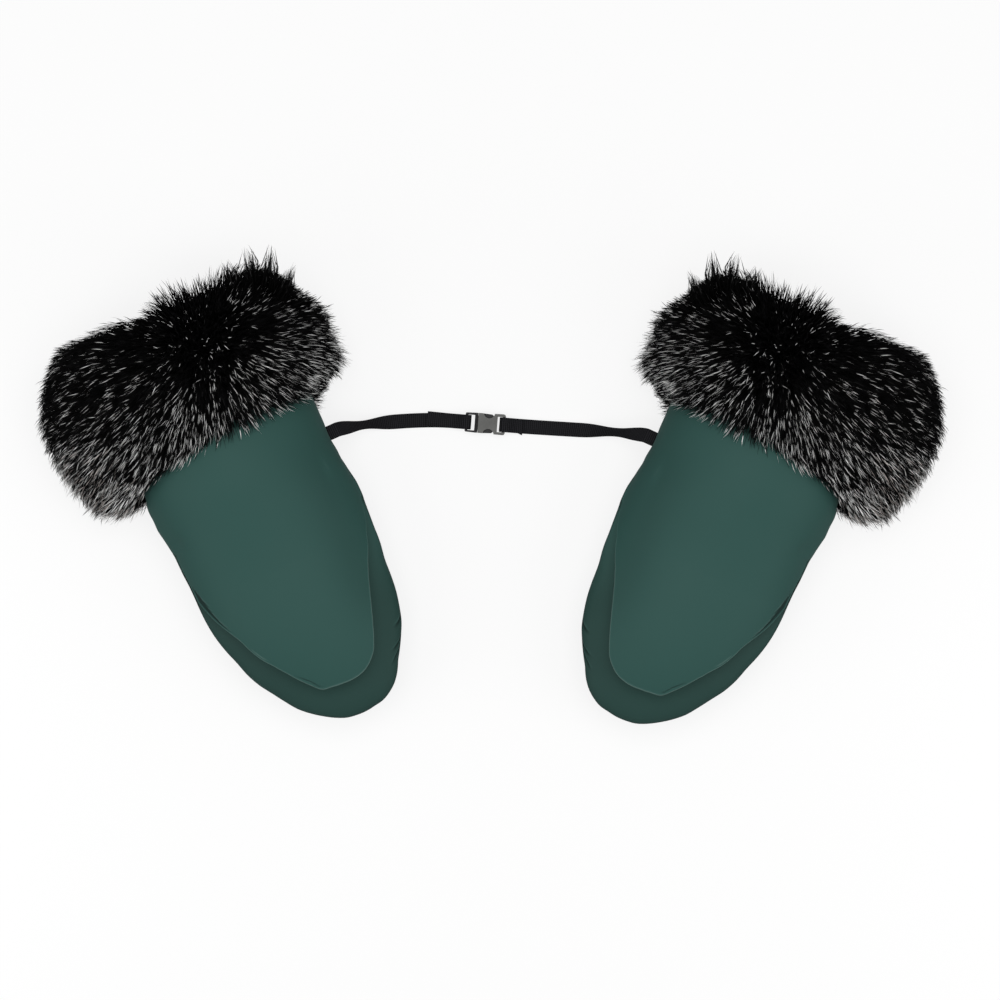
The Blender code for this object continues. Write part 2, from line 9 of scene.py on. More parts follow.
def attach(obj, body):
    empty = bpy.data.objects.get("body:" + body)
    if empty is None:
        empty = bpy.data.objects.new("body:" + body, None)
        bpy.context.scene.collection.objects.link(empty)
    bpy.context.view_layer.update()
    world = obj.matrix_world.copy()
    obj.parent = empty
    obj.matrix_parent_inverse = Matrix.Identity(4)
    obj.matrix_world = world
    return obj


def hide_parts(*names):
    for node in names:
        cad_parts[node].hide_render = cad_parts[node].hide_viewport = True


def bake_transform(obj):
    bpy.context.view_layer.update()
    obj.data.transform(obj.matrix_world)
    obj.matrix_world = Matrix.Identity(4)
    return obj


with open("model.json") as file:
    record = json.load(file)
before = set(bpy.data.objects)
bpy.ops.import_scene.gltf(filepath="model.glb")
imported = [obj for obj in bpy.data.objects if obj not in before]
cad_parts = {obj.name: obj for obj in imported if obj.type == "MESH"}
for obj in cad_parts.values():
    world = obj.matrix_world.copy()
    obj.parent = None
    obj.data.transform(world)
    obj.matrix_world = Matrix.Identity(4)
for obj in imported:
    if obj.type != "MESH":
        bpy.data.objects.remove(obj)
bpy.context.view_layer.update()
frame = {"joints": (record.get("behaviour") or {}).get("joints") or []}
bpy.ops.object.select_all(action="DESELECT")

# Viewpoint, floor and light. The pair lies flat on white paper and is photographed from straight
# above through a long lens, under a large soft lamp with two weaker ones at its sides.
photo_width = 0.7
lens_mm, sensor_mm = 300.0, 36.0
level_in_focus = 0.05
view_middle = (0.0059, -0.0081)
camera_height = level_in_focus + photo_width * lens_mm / sensor_mm
bpy.ops.object.camera_add(location=(*view_middle, camera_height), rotation=(0.0, 0.0, 0.0))
camera = bpy.context.object
camera.name = "photo_camera"
camera.data.lens = lens_mm
camera.data.sensor_width = sensor_mm
camera.data.clip_end = 100.0
bpy.context.scene.camera = camera
bpy.context.scene.view_settings.view_transform = "Standard"


def linear(hex_colour):
    """The linear colour of an sRGB hex value."""
    parts = [int(hex_colour[i:i + 2], 16) / 255 for i in (1, 3, 5)]
    return tuple(c / 12.92 if c <= 0.04045 else ((c + 0.055) / 1.055) ** 2.4 for c in parts) + (1.0,)


def add_node(tree, kind, inputs=(), **settings):
    """Adds a node. inputs gives values or sockets by the input's name or number."""
    node = tree.nodes.new(kind)
    for key, value in settings.items():
        setattr(node, key, value)
    for key, value in dict(inputs).items():
        if isinstance(value, bpy.types.NodeSocket):
            tree.links.new(value, node.inputs[key])
        else:
            node.inputs[key].default_value = value
    return node


def new_finish(name, colour, **values):
    """A material and its shader. values are the shader's own sockets, with _ for a space."""
    made = bpy.data.materials.new(name)
    made.use_nodes = True
    shader = made.node_tree.nodes["Principled BSDF"]
    shader.inputs["Base Color"].default_value = linear(colour)
    for key, value in values.items():
        shader.inputs[key.replace("_", " ")].default_value = value
    return made, made.node_tree, shader


# White paper: matt, and lifted towards the white of the page for the camera, with the shadow kept. It
# throws little light back up, so the undersides fall off to a dark line as they do in the photograph.
white = (1.0, 1.0, 1.0, 1.0)
page_share = 0.8
floor_size, floor_level = 8.0, -0.0006
paper, tree, shader = new_finish("white_paper", "#fbfbfb", Roughness=0.9, Specular_IOR_Level=0.0)
paths = add_node(tree, "ShaderNodeLightPath")
seen = add_node(tree, "ShaderNodeMath", {0: paths.outputs["Is Camera Ray"],
                                         1: paths.outputs["Is Transmission Ray"]}, operation="MAXIMUM")
shade = add_node(tree, "ShaderNodeMix", {0: seen.outputs[0], 6: linear("#969696"), 7: linear("#fbfbfb")},
                 data_type="RGBA")
tree.links.new(shade.outputs[2], shader.inputs["Base Color"])
lift = add_node(tree, "ShaderNodeMath", {0: seen.outputs[0], 1: page_share}, operation="MULTIPLY")
page = add_node(tree, "ShaderNodeEmission", {"Color": white, "Strength": 1.0})
either = add_node(tree, "ShaderNodeMixShader", {0: lift.outputs[0], 1: shader.outputs[0], 2: page.outputs[0]})
tree.links.new(either.outputs[0], tree.nodes["Material Output"].inputs["Surface"])
bpy.ops.mesh.primitive_plane_add(size=floor_size, location=(0.0, 0.0, floor_level))
floor = bpy.context.object
floor.name = "paper_floor"
floor.data.materials.append(paper)

# A white room, as the camera and the reflections see it, that throws only grey light
world = bpy.data.worlds.new("studio_room")
bpy.context.scene.world = world
world.use_nodes = True
tree = world.node_tree
paths = add_node(tree, "ShaderNodeLightPath")
seen = add_node(tree, "ShaderNodeMath", {0: paths.outputs["Is Camera Ray"],
                                         1: paths.outputs["Is Glossy Ray"]}, operation="MAXIMUM")
seen = add_node(tree, "ShaderNodeMath", {0: seen.outputs[0], 1: paths.outputs["Is Transmission Ray"]},
                operation="MAXIMUM")
room_level = 0.28
plain_room = add_node(tree, "ShaderNodeBackground", {"Color": white, "Strength": room_level})
white_room = add_node(tree, "ShaderNodeBackground", {"Color": white, "Strength": 1.0})
either = add_node(tree, "ShaderNodeMixShader", {0: seen.outputs[0], 1: plain_room.outputs[0],
                                                2: white_room.outputs[0]})
tree.links.new(either.outputs[0], tree.nodes["World Output"].inputs["Surface"])

# Each lamp's place, size and watts
lamps = {"lamp_over": ((0.0, 0.2, 2.4), 2.2, 34.8), "lamp_left": ((-0.75, -0.25, 0.5), 0.6, 2.0),
         "lamp_right": ((0.75, -0.25, 0.5), 0.6, 2.0)}
for name, (place, size, power) in lamps.items():
    turn = (Vector(place) - Vector((0.0, 0.0, level_in_focus))).to_track_quat("Z", "Y").to_euler()
    bpy.ops.object.light_add(type="AREA", location=place, rotation=turn)
    lamp = bpy.context.object
    lamp.name = name
    lamp.data.size = size
    lamp.data.energy = power
    lamp.visible_camera = False

# Back shells. Each mitt's back is one piece of polyester cloth with a rubbery green coating, padded,
# drawn round the tip and turned in over the rim. Round the tip its lip runs on under the flap.

# How the pair lies
tilt = math.radians(24.3)
tip_spacing, tip_y, stagger = 0.1911, -0.1621, 0.0042
# A mitt, measured along it from its tip and up from the paper
hinge_y, mouth_y = 0.157, 0.310
half_width, tip_length, seam_height, belly_share = 0.068, 0.115, 0.032, 1.35
crest_height, crest_rise, crest_rise_start, crest_rise_run = 0.070, 0.014, 0.100, 0.100
tip_lean, tip_lean_run = 0.0085, 0.100
wrist_lean, wrist_lean_start, wrist_lean_run = 0.0035, 0.157, 0.036
cuff_lift, cuff_lift_start, cuff_lift_run = 0.012, 0.158, 0.034
# Its layers, with a gap between each two, wider than the distance at which points are merged
gap, merge_distance = 0.0003, 0.00002
cloth, back_wadding, front_wadding, fleece_depth, tape_depth = 0.0008, 0.007, 0.005, 0.0014, 0.0012
front_wall = cloth + front_wadding + fleece_depth + 2 * gap
back_wall = cloth + back_wadding + fleece_depth + 2 * gap
# The lip lies below the flap by the two tapes, overlaps it by 15 degrees, and starts past the bar's slit
lip_sink = front_wall + 2 * tape_depth + 3 * gap
lip_overlap, ledge_share = 15.0, 0.7
slit_length, slit_ramp, lip_run = 0.024, 0.007, 0.020
sides = {"left": -1, "right": 1}
fold_at = {j["name"]: Vector(j["pos_m"]) for j in frame["joints"] if j["type"] == "hinge"}
pair_shift = fold_at["flap_right_fold"].y - (tip_y - stagger / 2 + hinge_y * math.cos(tilt))


def ease(share):
    """Goes softly from 0 to 1 as the share does, and stays there beyond."""
    share = np.clip(share, 0.0, 1.0)
    return share * share * (3 - 2 * share)


def hump(value, middle, width):
    """1 at the middle, falling softly to nothing at about two widths."""
    return np.exp(-((value - middle) / width) ** 2)


def to_pair(points, side):
    """Points of a mitt's own frame, outward, along and up, in the pair's frame."""
    out, along, up = np.moveaxis(np.asarray(points, float), -1, 0)
    x = side * (tip_spacing / 2 + out * math.cos(tilt) + along * math.sin(tilt))
    y = tip_y - side * stagger / 2 + pair_shift - out * math.sin(tilt) + along * math.cos(tilt)
    return np.stack([x, y, up], axis=-1)


# Places round a mitt's rim: millimetres up the outward side below 0, degrees round the tip from 0
# to 180, and millimetres up the inward side beyond that. They are closer together by the creases.
straight_mm = (mouth_y - tip_length) * 1000
rim_places = np.unique(np.concatenate([np.linspace(-straight_mm, 0, 66), np.linspace(0, 180, 81),
                                       np.linspace(180, 180 + straight_mm, 66), np.linspace(118, 150, 60)]))


def stations(places):
    """Each place's direction from the tip's centre, across and along, and that centre's y."""
    turn = np.radians(np.clip(places, 0, 180))
    past = np.maximum(-places, 0) + np.maximum(places - 180, 0)
    return np.cos(turn), np.sin(turn), tip_length + past / 1000


def run_from_fold(places):
    """How far each place lies before the flap's fold, towards the tip."""
    _, along, y = stations(places)
    return hinge_y - (y - along * tip_length)


def lean_at(y):
    """How far a mitt's middle line lies inward."""
    by_tip = np.maximum(0, 1 - y / tip_lean_run) ** 2
    return tip_lean * by_tip - wrist_lean * ease((y - wrist_lean_start) / wrist_lean_run)


# Where the sewn seam wanders, in millimetres outward at places round the rim: it runs straight for
# short stretches between soft corners, with a notch on each side where the flap starts.
seam_places = (-82, -75, -68, -60, -50, -45, -40, -25, -15, -5, 6, 12, 18, 24, 30, 36, 42, 48, 54, 66, 78,
               84, 96, 102, 114, 120, 126, 132, 138, 144, 156, 162, 168, 174, 180, 190, 200, 205, 215, 225,
               235, 240, 250, 262)
seam_offsets = (1.2, 2.2, 2.2, 3.5, 3.0, 2.7, 1.9, 1.7, 1.05, 1.0, 1.15, 0.9, 0.25, -0.6, 0.25, 0.3, -0.5,
                -0.1, 1.1, 0.9, 1.35, 0.55, -0.3, 0.5, 0.1, -0.8, -2.2, -1.9, -1.3, -0.35, -0.75, -1.65,
                -2.9, -1.65, -1.4, -0.7, -0.05, 0.6, 0.45, -1.25, -1.9, -1.05, -1.0, 0.0)
# How far round a corner its turn is spread, and how many degrees off the seam its wander is still felt
corner_spread, waver_reach = 1.6, 14


def near_places(places, known_places, values, spread):
    """Values between those known, with the corners eased over about the spread."""
    offsets = np.linspace(-2, 2, 13) * spread
    weight = hump(offsets, 0, spread)
    return np.interp(places[..., None] + offsets, known_places, values, 0.0, 0.0) @ weight / weight.sum()


def on_mitt(places, angles, inset, rise=0.0):
    """Points of the padded body, inset below its surface: angle 0 is the side seam, 90 the crest and -90
    the back's middle. rise lifts the front."""
    across, along, y = stations(places)
    crest = crest_height + crest_rise * ease((y - crest_rise_start) / crest_rise_run)
    floor_up = cuff_lift * ease((y - cuff_lift_start) / cuff_lift_run)
    bend = np.radians(angles)
    reach = np.cos(bend)
    over = seam_height + rise + (crest - seam_height - inset) * np.sin(bend)
    depth = seam_height - floor_up
    under = seam_height - np.minimum(depth - inset, (depth * belly_share - inset) * np.sin(-bend))
    up = np.where(bend >= 0, over, under)
    waver = near_places(places, seam_places, seam_offsets, corner_spread) / 1000
    waver = waver * hump(angles, 0, waver_reach)
    y = y - along * ((tip_length - inset) * reach + waver)
    return np.stack([across * ((half_width - inset) * reach + waver) - lean_at(y), y, up], -1)


# The flap's edge, as the angle at which it lies, at places round the rim
edge_places = (-42, -15, -4, -1.1, 3, 7.8, 12.5, 15.3, 21.2, 27.2, 33.9, 42.1, 50.5, 58.4, 64.9, 70.9, 78.6,
               86.9, 93.6, 99.2, 103.2, 107, 111.9, 115.8, 121.4, 127.2, 134.5, 142.6, 151.5, 160.7, 168.2,
               177, 184.5, 194.5, 201, 209, 222)
edge_angles = (10, 10, 10.4, 11.5, 18.1, 23.9, 29.1, 31.8, 35.8, 36.5, 37.7, 40.0, 40.2, 38.9, 37.5, 35.4,
               37.4, 38.1, 37.8, 37.5, 37.3, 37.1, 37.2, 37.4, 37.8, 39.4, 40.9, 41.8, 41.7, 40.2, 37.0,
               29.6, 23.3, 16.4, 12.5, 10.6, 10)
edge_start, edge_end, edge_at_slit = -45, 225, 10


def flap_edge(places):
    """The angle at which the flap's edge lies."""
    beyond = (places < edge_start) | (places > edge_end)
    return near_places(places, edge_places, edge_angles, corner_spread) + edge_at_slit * beyond


def lip_path(places, shares):
    """(angles, sinks) of the back above the seam at shares of the way to the end of its lip."""
    edge = flap_edge(places)[:, None]
    reach = ease((run_from_fold(places) - slit_length) / lip_run)[:, None]
    ledge = ledge_share * edge
    amount = ease((run_from_fold(places) - slit_length + slit_ramp) / slit_ramp)[:, None]
    rising = np.clip(shares / 0.5, 0, 1)
    onward = np.clip(shares / 0.5 - 1, 0, 1)
    angles = amount * (ledge * rising + (edge + lip_overlap - ledge) * reach * onward)
    return angles, amount * lip_sink * ease(rising) * np.ones_like(edge)


def unit(vectors):
    """The vectors, each made 1 long."""
    return vectors / np.maximum(np.linalg.norm(vectors, axis=-1, keepdims=True), 1e-12)


def rolled_rim(places, angles, inset, wall, bulge, rise=0.0, rows=6):
    """Rows that carry a cloth's edge over its wadding: from the outer face inwards, bulging onward."""
    outer = on_mitt(places, angles, inset, rise)
    inner = on_mitt(places, angles, inset + wall, rise)
    onward = unit(on_mitt(places, angles + np.sign(bulge + 1e-9), inset, rise) - outer)
    turn = np.linspace(0, math.pi, rows + 1)[1:, None, None]
    points = outer + (inner - outer) * (1 - np.cos(turn)) / 2 + onward * np.abs(bulge)[:, None] * np.sin(turn)
    return np.moveaxis(points, 0, 1)


def take(piece):
    """Selects a piece alone and makes it the one that the operators act on."""
    bpy.ops.object.select_all(action="DESELECT")
    piece.select_set(True)
    bpy.context.view_layer.objects.active = piece


def new_piece(name, points, faces, finish):
    mesh = bpy.data.meshes.new(name)
    mesh.from_pydata(points, [], faces)
    mesh.materials.append(finish)
    piece = bpy.data.objects.new(name, mesh)
    bpy.context.scene.collection.objects.link(piece)
    return piece


def face_outwards(piece):
    take(piece)
    bpy.ops.object.mode_set(mode="EDIT")
    bpy.ops.mesh.select_all(action="SELECT")
    bpy.ops.mesh.normals_make_consistent(inside=False)
    bpy.ops.object.mode_set(mode="OBJECT")


def change(piece, kind, **settings):
    """Adds a modifier and applies it."""
    take(piece)
    modifier = piece.modifiers.new(kind.lower(), kind)
    for key, value in settings.items():
        setattr(modifier, key, value)
    bpy.ops.object.modifier_apply(modifier=modifier.name)


def grid_mesh(name, layers, side, finish, painted_light_and_shade=None):
    """A mesh from one or two grids of points, columns by rows, in a mitt's frame. Two make a closed wall.
    The last argument is the painted highlight on the cloth at each point of a single grid, and below 0
    its painted shade."""
    grids = [to_pair(points, side) for points in layers]
    columns, rows = grids[0].shape[:2]
    count = columns * rows
    index = np.arange(count).reshape(columns, rows)
    quads = np.stack([index[:-1, :-1], index[1:, :-1], index[1:, 1:], index[:-1, 1:]], -1).reshape(-1, 4)
    faces = [quads] if len(grids) == 1 else [quads, quads[:, ::-1] + count]
    if len(grids) == 2:
        for border in (index[:, -1], index[::-1, 0], index[0, :], index[-1, ::-1]):
            a, b = border[:-1], border[1:]
            faces.append(np.stack([a, b, b + count, a + count], -1)[:, ::-1])
    piece = new_piece(name, np.concatenate([g.reshape(-1, 3) for g in grids]).tolist(),
                      np.concatenate(faces).tolist(), finish)
    if painted_light_and_shade is not None:
        shades = piece.data.attributes.new("painted_light_and_shade", "FLOAT", "POINT")
        shades.data.foreach_set("value", np.ravel(painted_light_and_shade))
    take(piece)
    bpy.ops.object.mode_set(mode="EDIT")
    bpy.ops.mesh.select_all(action="SELECT")
    bpy.ops.mesh.remove_doubles(threshold=merge_distance)
    bpy.ops.mesh.dissolve_degenerate(threshold=merge_distance)
    bpy.ops.object.mode_set(mode="OBJECT")
    face_outwards(piece)
    bpy.ops.object.shade_smooth()
    return piece


# Polyester cloth with a matt polyurethane coating: a dark green with a soft broad sheen. The back's
# cloth is painted a shade deeper and greyer than the front's, as painted shade on the back, whose rim
# curves away from the light.
cloths = {}
# Each cloth's deep and plain tones, and folded, the pale colour of its painted highlights
for name, deep, plain, folded in (("front", "#2e4e49", "#31514c", "#6f8680"),
                                  ("back", "#263e3a", "#2b4540", "#41655f")):
    cloths[name], tree, shader = new_finish(f"coated_polyester_cloth_{name}", plain, Roughness=0.52,
                                            Specular_IOR_Level=0.09, Sheen_Weight=0.04, Sheen_Roughness=0.35)
    place = add_node(tree, "ShaderNodeTexCoord").outputs["Object"]
    drift = add_node(tree, "ShaderNodeTexNoise", {"Vector": place, "Scale": 14.0, "Detail": 2.0})
    # The attribute paints light and shade into the colour: above 0 a pale painted highlight, as on folds,
    # the hem's bead and the lit flank, and below 0 a near-black painted shade, as inside folds and by the
    # seam.
    painted_tone = add_node(tree, "ShaderNodeAttribute", attribute_name="painted_light_and_shade").outputs["Fac"]
    hollow = add_node(tree, "ShaderNodeMath", {0: painted_tone, 1: -1.0}, operation="MULTIPLY").outputs[0]
    shade = linear(deep)
    for amount, colour in ((drift.outputs["Fac"], plain), (painted_tone, folded), (hollow, "#0c1816")):
        shade = add_node(tree, "ShaderNodeMix", {0: amount, 6: shade, 7: linear(colour)},
                         data_type="RGBA").outputs[2]
    tree.links.new(shade, shader.inputs["Base Color"])
    # The thread spacing is 0.25 mm, too fine to show: it is drawn at 0.9 mm, and faintly.
    grain = add_node(tree, "ShaderNodeTexNoise", {"Vector": place, "Scale": 1100.0, "Detail": 2.0})
    bump = add_node(tree, "ShaderNodeBump", {"Height": grain.outputs["Fac"], "Strength": 0.06,
                                             "Distance": 0.0002})
    tree.links.new(bump.outputs["Normal"], shader.inputs["Normal"])

# Rows of the back: from its middle to the seam, and on to the lip's end in the layers and in the cloth
down_shares = np.linspace(0, 1, 30) ** 0.8
lip_shares = np.linspace(0, 1, 15)[1:]
shell_shares = np.concatenate([np.linspace(0, 0.3, 26), np.linspace(0.3, 1, 12)[1:]])[1:]
# Three short creases on the inward side, near the tip: place and angle of both ends, and depth in mm.
# Each is a soft groove that fades at its ends, with a painted highlight along one edge and painted
# shade along the other.
creases = ((147.6, 0.5, 140.4, 12.5, 0.9), (138.7, 0.5, 128.4, 13.0, 1.0), (133.5, 3.0, 121.8, 11.0, 0.7))


def creased(places, angles):
    """How deep the creases are, in metres, and the painted highlight and painted shade along them."""
    depth, tone = 0.0, 0.0
    for place, angle, end_place, end_angle, deepest in creases:
        run = np.array([end_place - place, end_angle - angle])
        length = np.hypot(*run)
        share = ((places - place) * run[0] + (angles - angle) * run[1]) / length ** 2
        beside = ((angles - angle) * run[0] - (places - place) * run[1]) / length
        within = ease(share / 0.12 + 0.8) * ease((1.05 - share) / 0.6)
        depth += deepest / 1000 * hump(beside, 0.7, 0.8) * within
        tone += (0.85 * hump(beside, -0.35, 0.55) - 0.9 * hump(beside, 0.85, 0.7)) * within
    return depth, tone


# Painted light up the inward flank, painted shade by the seam, and the bulge of the back's rim
painted_light_at_tip, painted_shade_at_seam, back_bulge = 0.40, -0.8, 0.0015
for label, side in sides.items():
    places = rim_places
    low = np.broadcast_to(-90 + 90 * down_shares, (len(places), len(down_shares)))
    angles, sinks = lip_path(places, shell_shares[None, :])
    depth, tone = creased(places[:, None], angles)
    up = on_mitt(places[:, None], angles, sinks + depth)
    # From the tip's inward corner up that flank the cloth is painted paler, as painted light where it
    # catches the light.
    lit = painted_light_at_tip * ease((places - 150) / 35) * ease((236 - places) / 25)
    bulge = back_bulge * ease(run_from_fold(places) / 0.008)
    rim = rolled_rim(places, angles[:, -1], sinks[:, -1], cloth + back_wadding + gap, bulge)
    points = np.concatenate([on_mitt(places[:, None], low, 0.0), up, rim], axis=1)
    # The cloth is painted darker within 3 degrees of the seam, as painted shade.
    shaded = painted_shade_at_seam * ease(1 - np.abs(np.concatenate([low, angles], axis=1)) / 3.0)
    painted_light_and_shade = np.concatenate([lit[:, None] + shaded + np.concatenate([np.zeros(low.shape), tone], axis=1),
                            np.broadcast_to(lit[:, None], rim.shape[:2])], axis=1)
    piece = grid_mesh(f"back_shell_{label}", [points], side, cloths["back"], painted_light_and_shade)
    change(piece, "SOLIDIFY", thickness=cloth, offset=-1.0)
    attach(piece, f"mitt_{label}")
    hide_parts(f"back_panel_{label}")

# Front covers. One piece of the same cloth covers the wrist and runs on as the flap, which opens at
# the knuckles. Its edge is turned in over the wadding and stitched down, which leaves a raised bead.

# Rows of the front: millimetres in from its edge, and shares of the rest of the way to its crest
near_edge_mm = np.array([0, 0.2, 0.4, 0.6, 0.85, 1.1, 1.4, 1.8, 2.2, 2.6, 3.0, 3.5, 4.0, 4.6, 5.2, 5.9, 6.6,
                         7.4, 8.2, 9.1, 10.0, 11.0, 12.0, 13.0, 14.2])
crown_shares = np.linspace(0, 1, 24)[1:]
radius_mm = half_width * 1000
# The points that mark the flap's bend lie this far each side of the fold and at this level, and the
# flap's rim bulges back towards the seam.
blend_half, fold_level, front_bulge = 0.016, 0.078, -0.0012
bead_height, hollow_depth, ridge_height, tuck_depth, crimp_height = 0.0003, 0.0006, 0.0005, 0.0004, 0.0003


def fold_points(side):
    """Where the flap starts and ends its bend, each side of the fold."""
    return to_pair([(0, hinge_y + blend_half, fold_level), (0, hinge_y - blend_half, fold_level)], side)


def puckers(points):
    """How far the front's cloth and wadding sink: shallow swells, and a dimple by the outward notch."""
    out, along = points[..., 0] * 1000, points[..., 1] * 1000
    swells = 0.45 * np.sin(out / 14 + along / 60 + 0.8) * np.sin(along / 26 - out / 45 + 0.5)
    folds = 0.35 * hump(out + (along - 150) / 9, -52, 5) * hump(along, 160, 26)
    dimple = 1.5 * hump(out, 64, 4.5) * hump(along, 161, 4.5)
    return (swells * ease((60 - np.abs(out)) / 25) + folds + dimple) / 1000


for label, side in sides.items():
    places = rim_places
    run = run_from_fold(places)
    edge = np.where(run > 0, flap_edge(places), 0.0)
    start = edge[:, None] + np.degrees(near_edge_mm / radius_mm)
    crown = start[:, -1:] + (90 - start[:, -1:]) * crown_shares
    angles = np.concatenate([start, crown], axis=1)
    from_edge = np.radians(angles - edge[:, None]) * radius_mm
    on_flap = ease(run / 0.006)[:, None]
    # The turned-in hem makes a narrow bead at the edge, with a painted highlight along it. Behind it the
    # cloth is folded over itself on the outward side, as a hollow with painted shade under a ridge with a
    # painted highlight, and faintly by the tip's corner.
    fold_mm = np.interp(places, (-16, -7, -1, 3, 7.8, 12.5, 15.5),
                        (2.0, 9.9, 12.4, 7.4, 4.9, 3.1, 1.4))[:, None]
    folded = (ease((places + 17) / 6) * ease((17 - places) / 5))[:, None]
    hollow = ease((from_edge - 0.7) / 0.8) * ease((fold_mm - from_edge) / (0.25 * fold_mm)) * folded
    ridge = hump(from_edge - fold_mm, 0.3, 0.5) * folded
    # Round the tip a tuck is painted darker, as painted shade, and nearer the outward side a crimp paler, as
    # a painted highlight.
    tuck_mm = np.interp(places, (54, 60, 66, 71), (1.2, 2.4, 3.1, 1.7))[:, None]
    tucked = (ease((places - 54) / 9) * ease((72.5 - places) / 2))[:, None]
    tuck = hump(from_edge, tuck_mm, 0.45) * tucked
    crimp = hump(from_edge, 1.9, 0.5) * (ease((places - 27) / 4) * ease((39 - places) / 4))[:, None]
    raised = on_flap * (bead_height * hump(from_edge, 0.4, 0.35) - hollow_depth * hollow
                        + ridge_height * ridge - tuck_depth * tuck + crimp_height * crimp)
    outer = on_mitt(places[:, None], angles, puckers(on_mitt(places[:, None], angles, 0.0)) - raised, gap)
    painted_bead_highlight = 0.75 * hump(from_edge, 0.2, 0.25)
    painted_light_and_shade = on_flap * (np.maximum(painted_bead_highlight, 0.35 * ridge + 0.3 * crimp) - 0.75 * hollow - 0.7 * tuck)
    # The inward flank is painted a little darker, as painted shade, with a short painted highlight streak
    # below the strap.
    out, along = outer[..., 0] * 1000, outer[..., 1] * 1000
    painted_light_and_shade -= 0.14 * hump(out, -45, 15) * ease((along - 45) / 35) * ease((205 - along) / 40)
    painted_light_and_shade += 0.16 * hump(out, -53.5, 2.2) * hump(along, 167, 9)
    bulge = front_bulge * ease(run / 0.008)
    rim = rolled_rim(places, edge, 0.0, cloth + front_wadding + gap, bulge, gap)
    points = np.concatenate([rim[:, ::-1], outer], axis=1)
    painted_light_and_shade = np.concatenate([np.zeros(rim.shape[:2]), painted_light_and_shade], axis=1)
    piece = grid_mesh(f"front_cover_{label}", [points], side, cloths["front"], painted_light_and_shade)
    change(piece, "SOLIDIFY", thickness=cloth, offset=-1.0)
    start, end = fold_points(side)
    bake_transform(piece)
    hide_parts(f"front_panel_{label}", f"flap_panel_{label}")

# Wadding. A layer of bonded polyester fibre lies between the cloth and the fleece of each panel, and
# is caught in the seams with them. It is white, and seen only where a seam gapes.


def colour_and_raise(tree, shader, shade_by, dark, pale, height, strength, depth):
    """Colours a surface between dark and pale by one pattern, and raises it by another."""
    shade = add_node(tree, "ShaderNodeMix", {0: shade_by, 6: linear(dark), 7: linear(pale)}, data_type="RGBA")
    tree.links.new(shade.outputs[2], shader.inputs["Base Color"])
    bump = add_node(tree, "ShaderNodeBump", {"Height": height, "Strength": strength, "Distance": depth})
    tree.links.new(bump.outputs["Normal"], shader.inputs["Normal"])


wadding_fibre, tree, shader = new_finish("bonded_polyester_wadding", "#dcdcd6", Roughness=0.95,
                                         Specular_IOR_Level=0.1)
place = add_node(tree, "ShaderNodeTexCoord").outputs["Object"]
# The fibres' loops are about 2.6 mm across.
tangle = add_node(tree, "ShaderNodeTexNoise", {"Vector": place, "Scale": 380.0, "Detail": 5.0,
                                               "Distortion": 1.5}).outputs["Fac"]
colour_and_raise(tree, shader, tangle, "#c4c4bd", "#eeeeea", tangle, 0.5, 0.001)


def back_rows(places, inset):
    """The back from its middle over the seam and ledge to the end of its lip, at a depth."""
    low = np.broadcast_to(-90 + 90 * down_shares, (len(places), len(down_shares)))
    angles, sinks = lip_path(places, lip_shares[None, :])
    return np.concatenate([on_mitt(places[:, None], low, inset),
                           on_mitt(places[:, None], angles, inset + sinks)], axis=1)


def front_rows(places, inset, count=22):
    """The front from its edge, or from the seam at the wrist, to its crest, at a depth."""
    edge = np.where(run_from_fold(places) > 0, flap_edge(places), 0.0)[:, None]
    angles = edge + (90 - edge) * np.linspace(0, 1, count)
    return on_mitt(places[:, None], angles, inset + puckers(on_mitt(places[:, None], angles, 0.0)), gap)


wadding_inset = cloth + gap
for label, side in sides.items():
    layers = [back_rows(rim_places, wadding_inset + depth) for depth in (0.0, back_wadding)]
    piece = grid_mesh(f"back_wadding_layer_{label}", layers, side, wadding_fibre)
    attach(piece, f"mitt_{label}")
    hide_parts(f"back_wadding_{label}")
    layers = [front_rows(rim_places, wadding_inset + depth) for depth in (0.0, front_wadding)]
    piece = grid_mesh(f"front_wadding_layer_{label}", layers, side, wadding_fibre)
    start, end = fold_points(side)
    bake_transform(piece)
    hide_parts(f"front_wadding_{label}", f"flap_wadding_{label}")

# Linings. Both halves of a mitt are lined with short black polyester fleece, cut to the shape of the
# panels and turned over their rims. Its pile is brushed up, so it is dull and slightly lumpy.
fleece, tree, shader = new_finish("brushed_polyester_fleece", "#1c1c1e", Roughness=1.0,
                                  Specular_IOR_Level=0.05, Sheen_Weight=0.25, Sheen_Roughness=0.6)
place = add_node(tree, "ShaderNodeTexCoord").outputs["Object"]
# The nap's knots are about 1.2 mm apart.
nap = add_node(tree, "ShaderNodeTexVoronoi", {"Vector": place, "Scale": 830.0}).outputs["Distance"]
drift = add_node(tree, "ShaderNodeTexNoise", {"Vector": place, "Scale": 60.0, "Detail": 3.0}).outputs["Fac"]
colour_and_raise(tree, shader, drift, "#141415", "#29292c", nap, 0.7, 0.0008)

for label, side in sides.items():
    rows = back_rows(rim_places, wadding_inset + back_wadding + gap)
    piece = grid_mesh(f"back_fleece_{label}", [rows], side, fleece)
    change(piece, "SOLIDIFY", thickness=fleece_depth, offset=-1.0)
    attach(piece, f"mitt_{label}")
    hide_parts(f"back_lining_{label}")
    rows = front_rows(rim_places, wadding_inset + front_wadding + gap)
    piece = grid_mesh(f"front_fleece_{label}", [rows], side, fleece)
    change(piece, "SOLIDIFY", thickness=fleece_depth, offset=-1.0)
    start, end = fold_points(side)
    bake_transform(piece)
    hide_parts(f"front_lining_{label}", f"flap_lining_{label}")

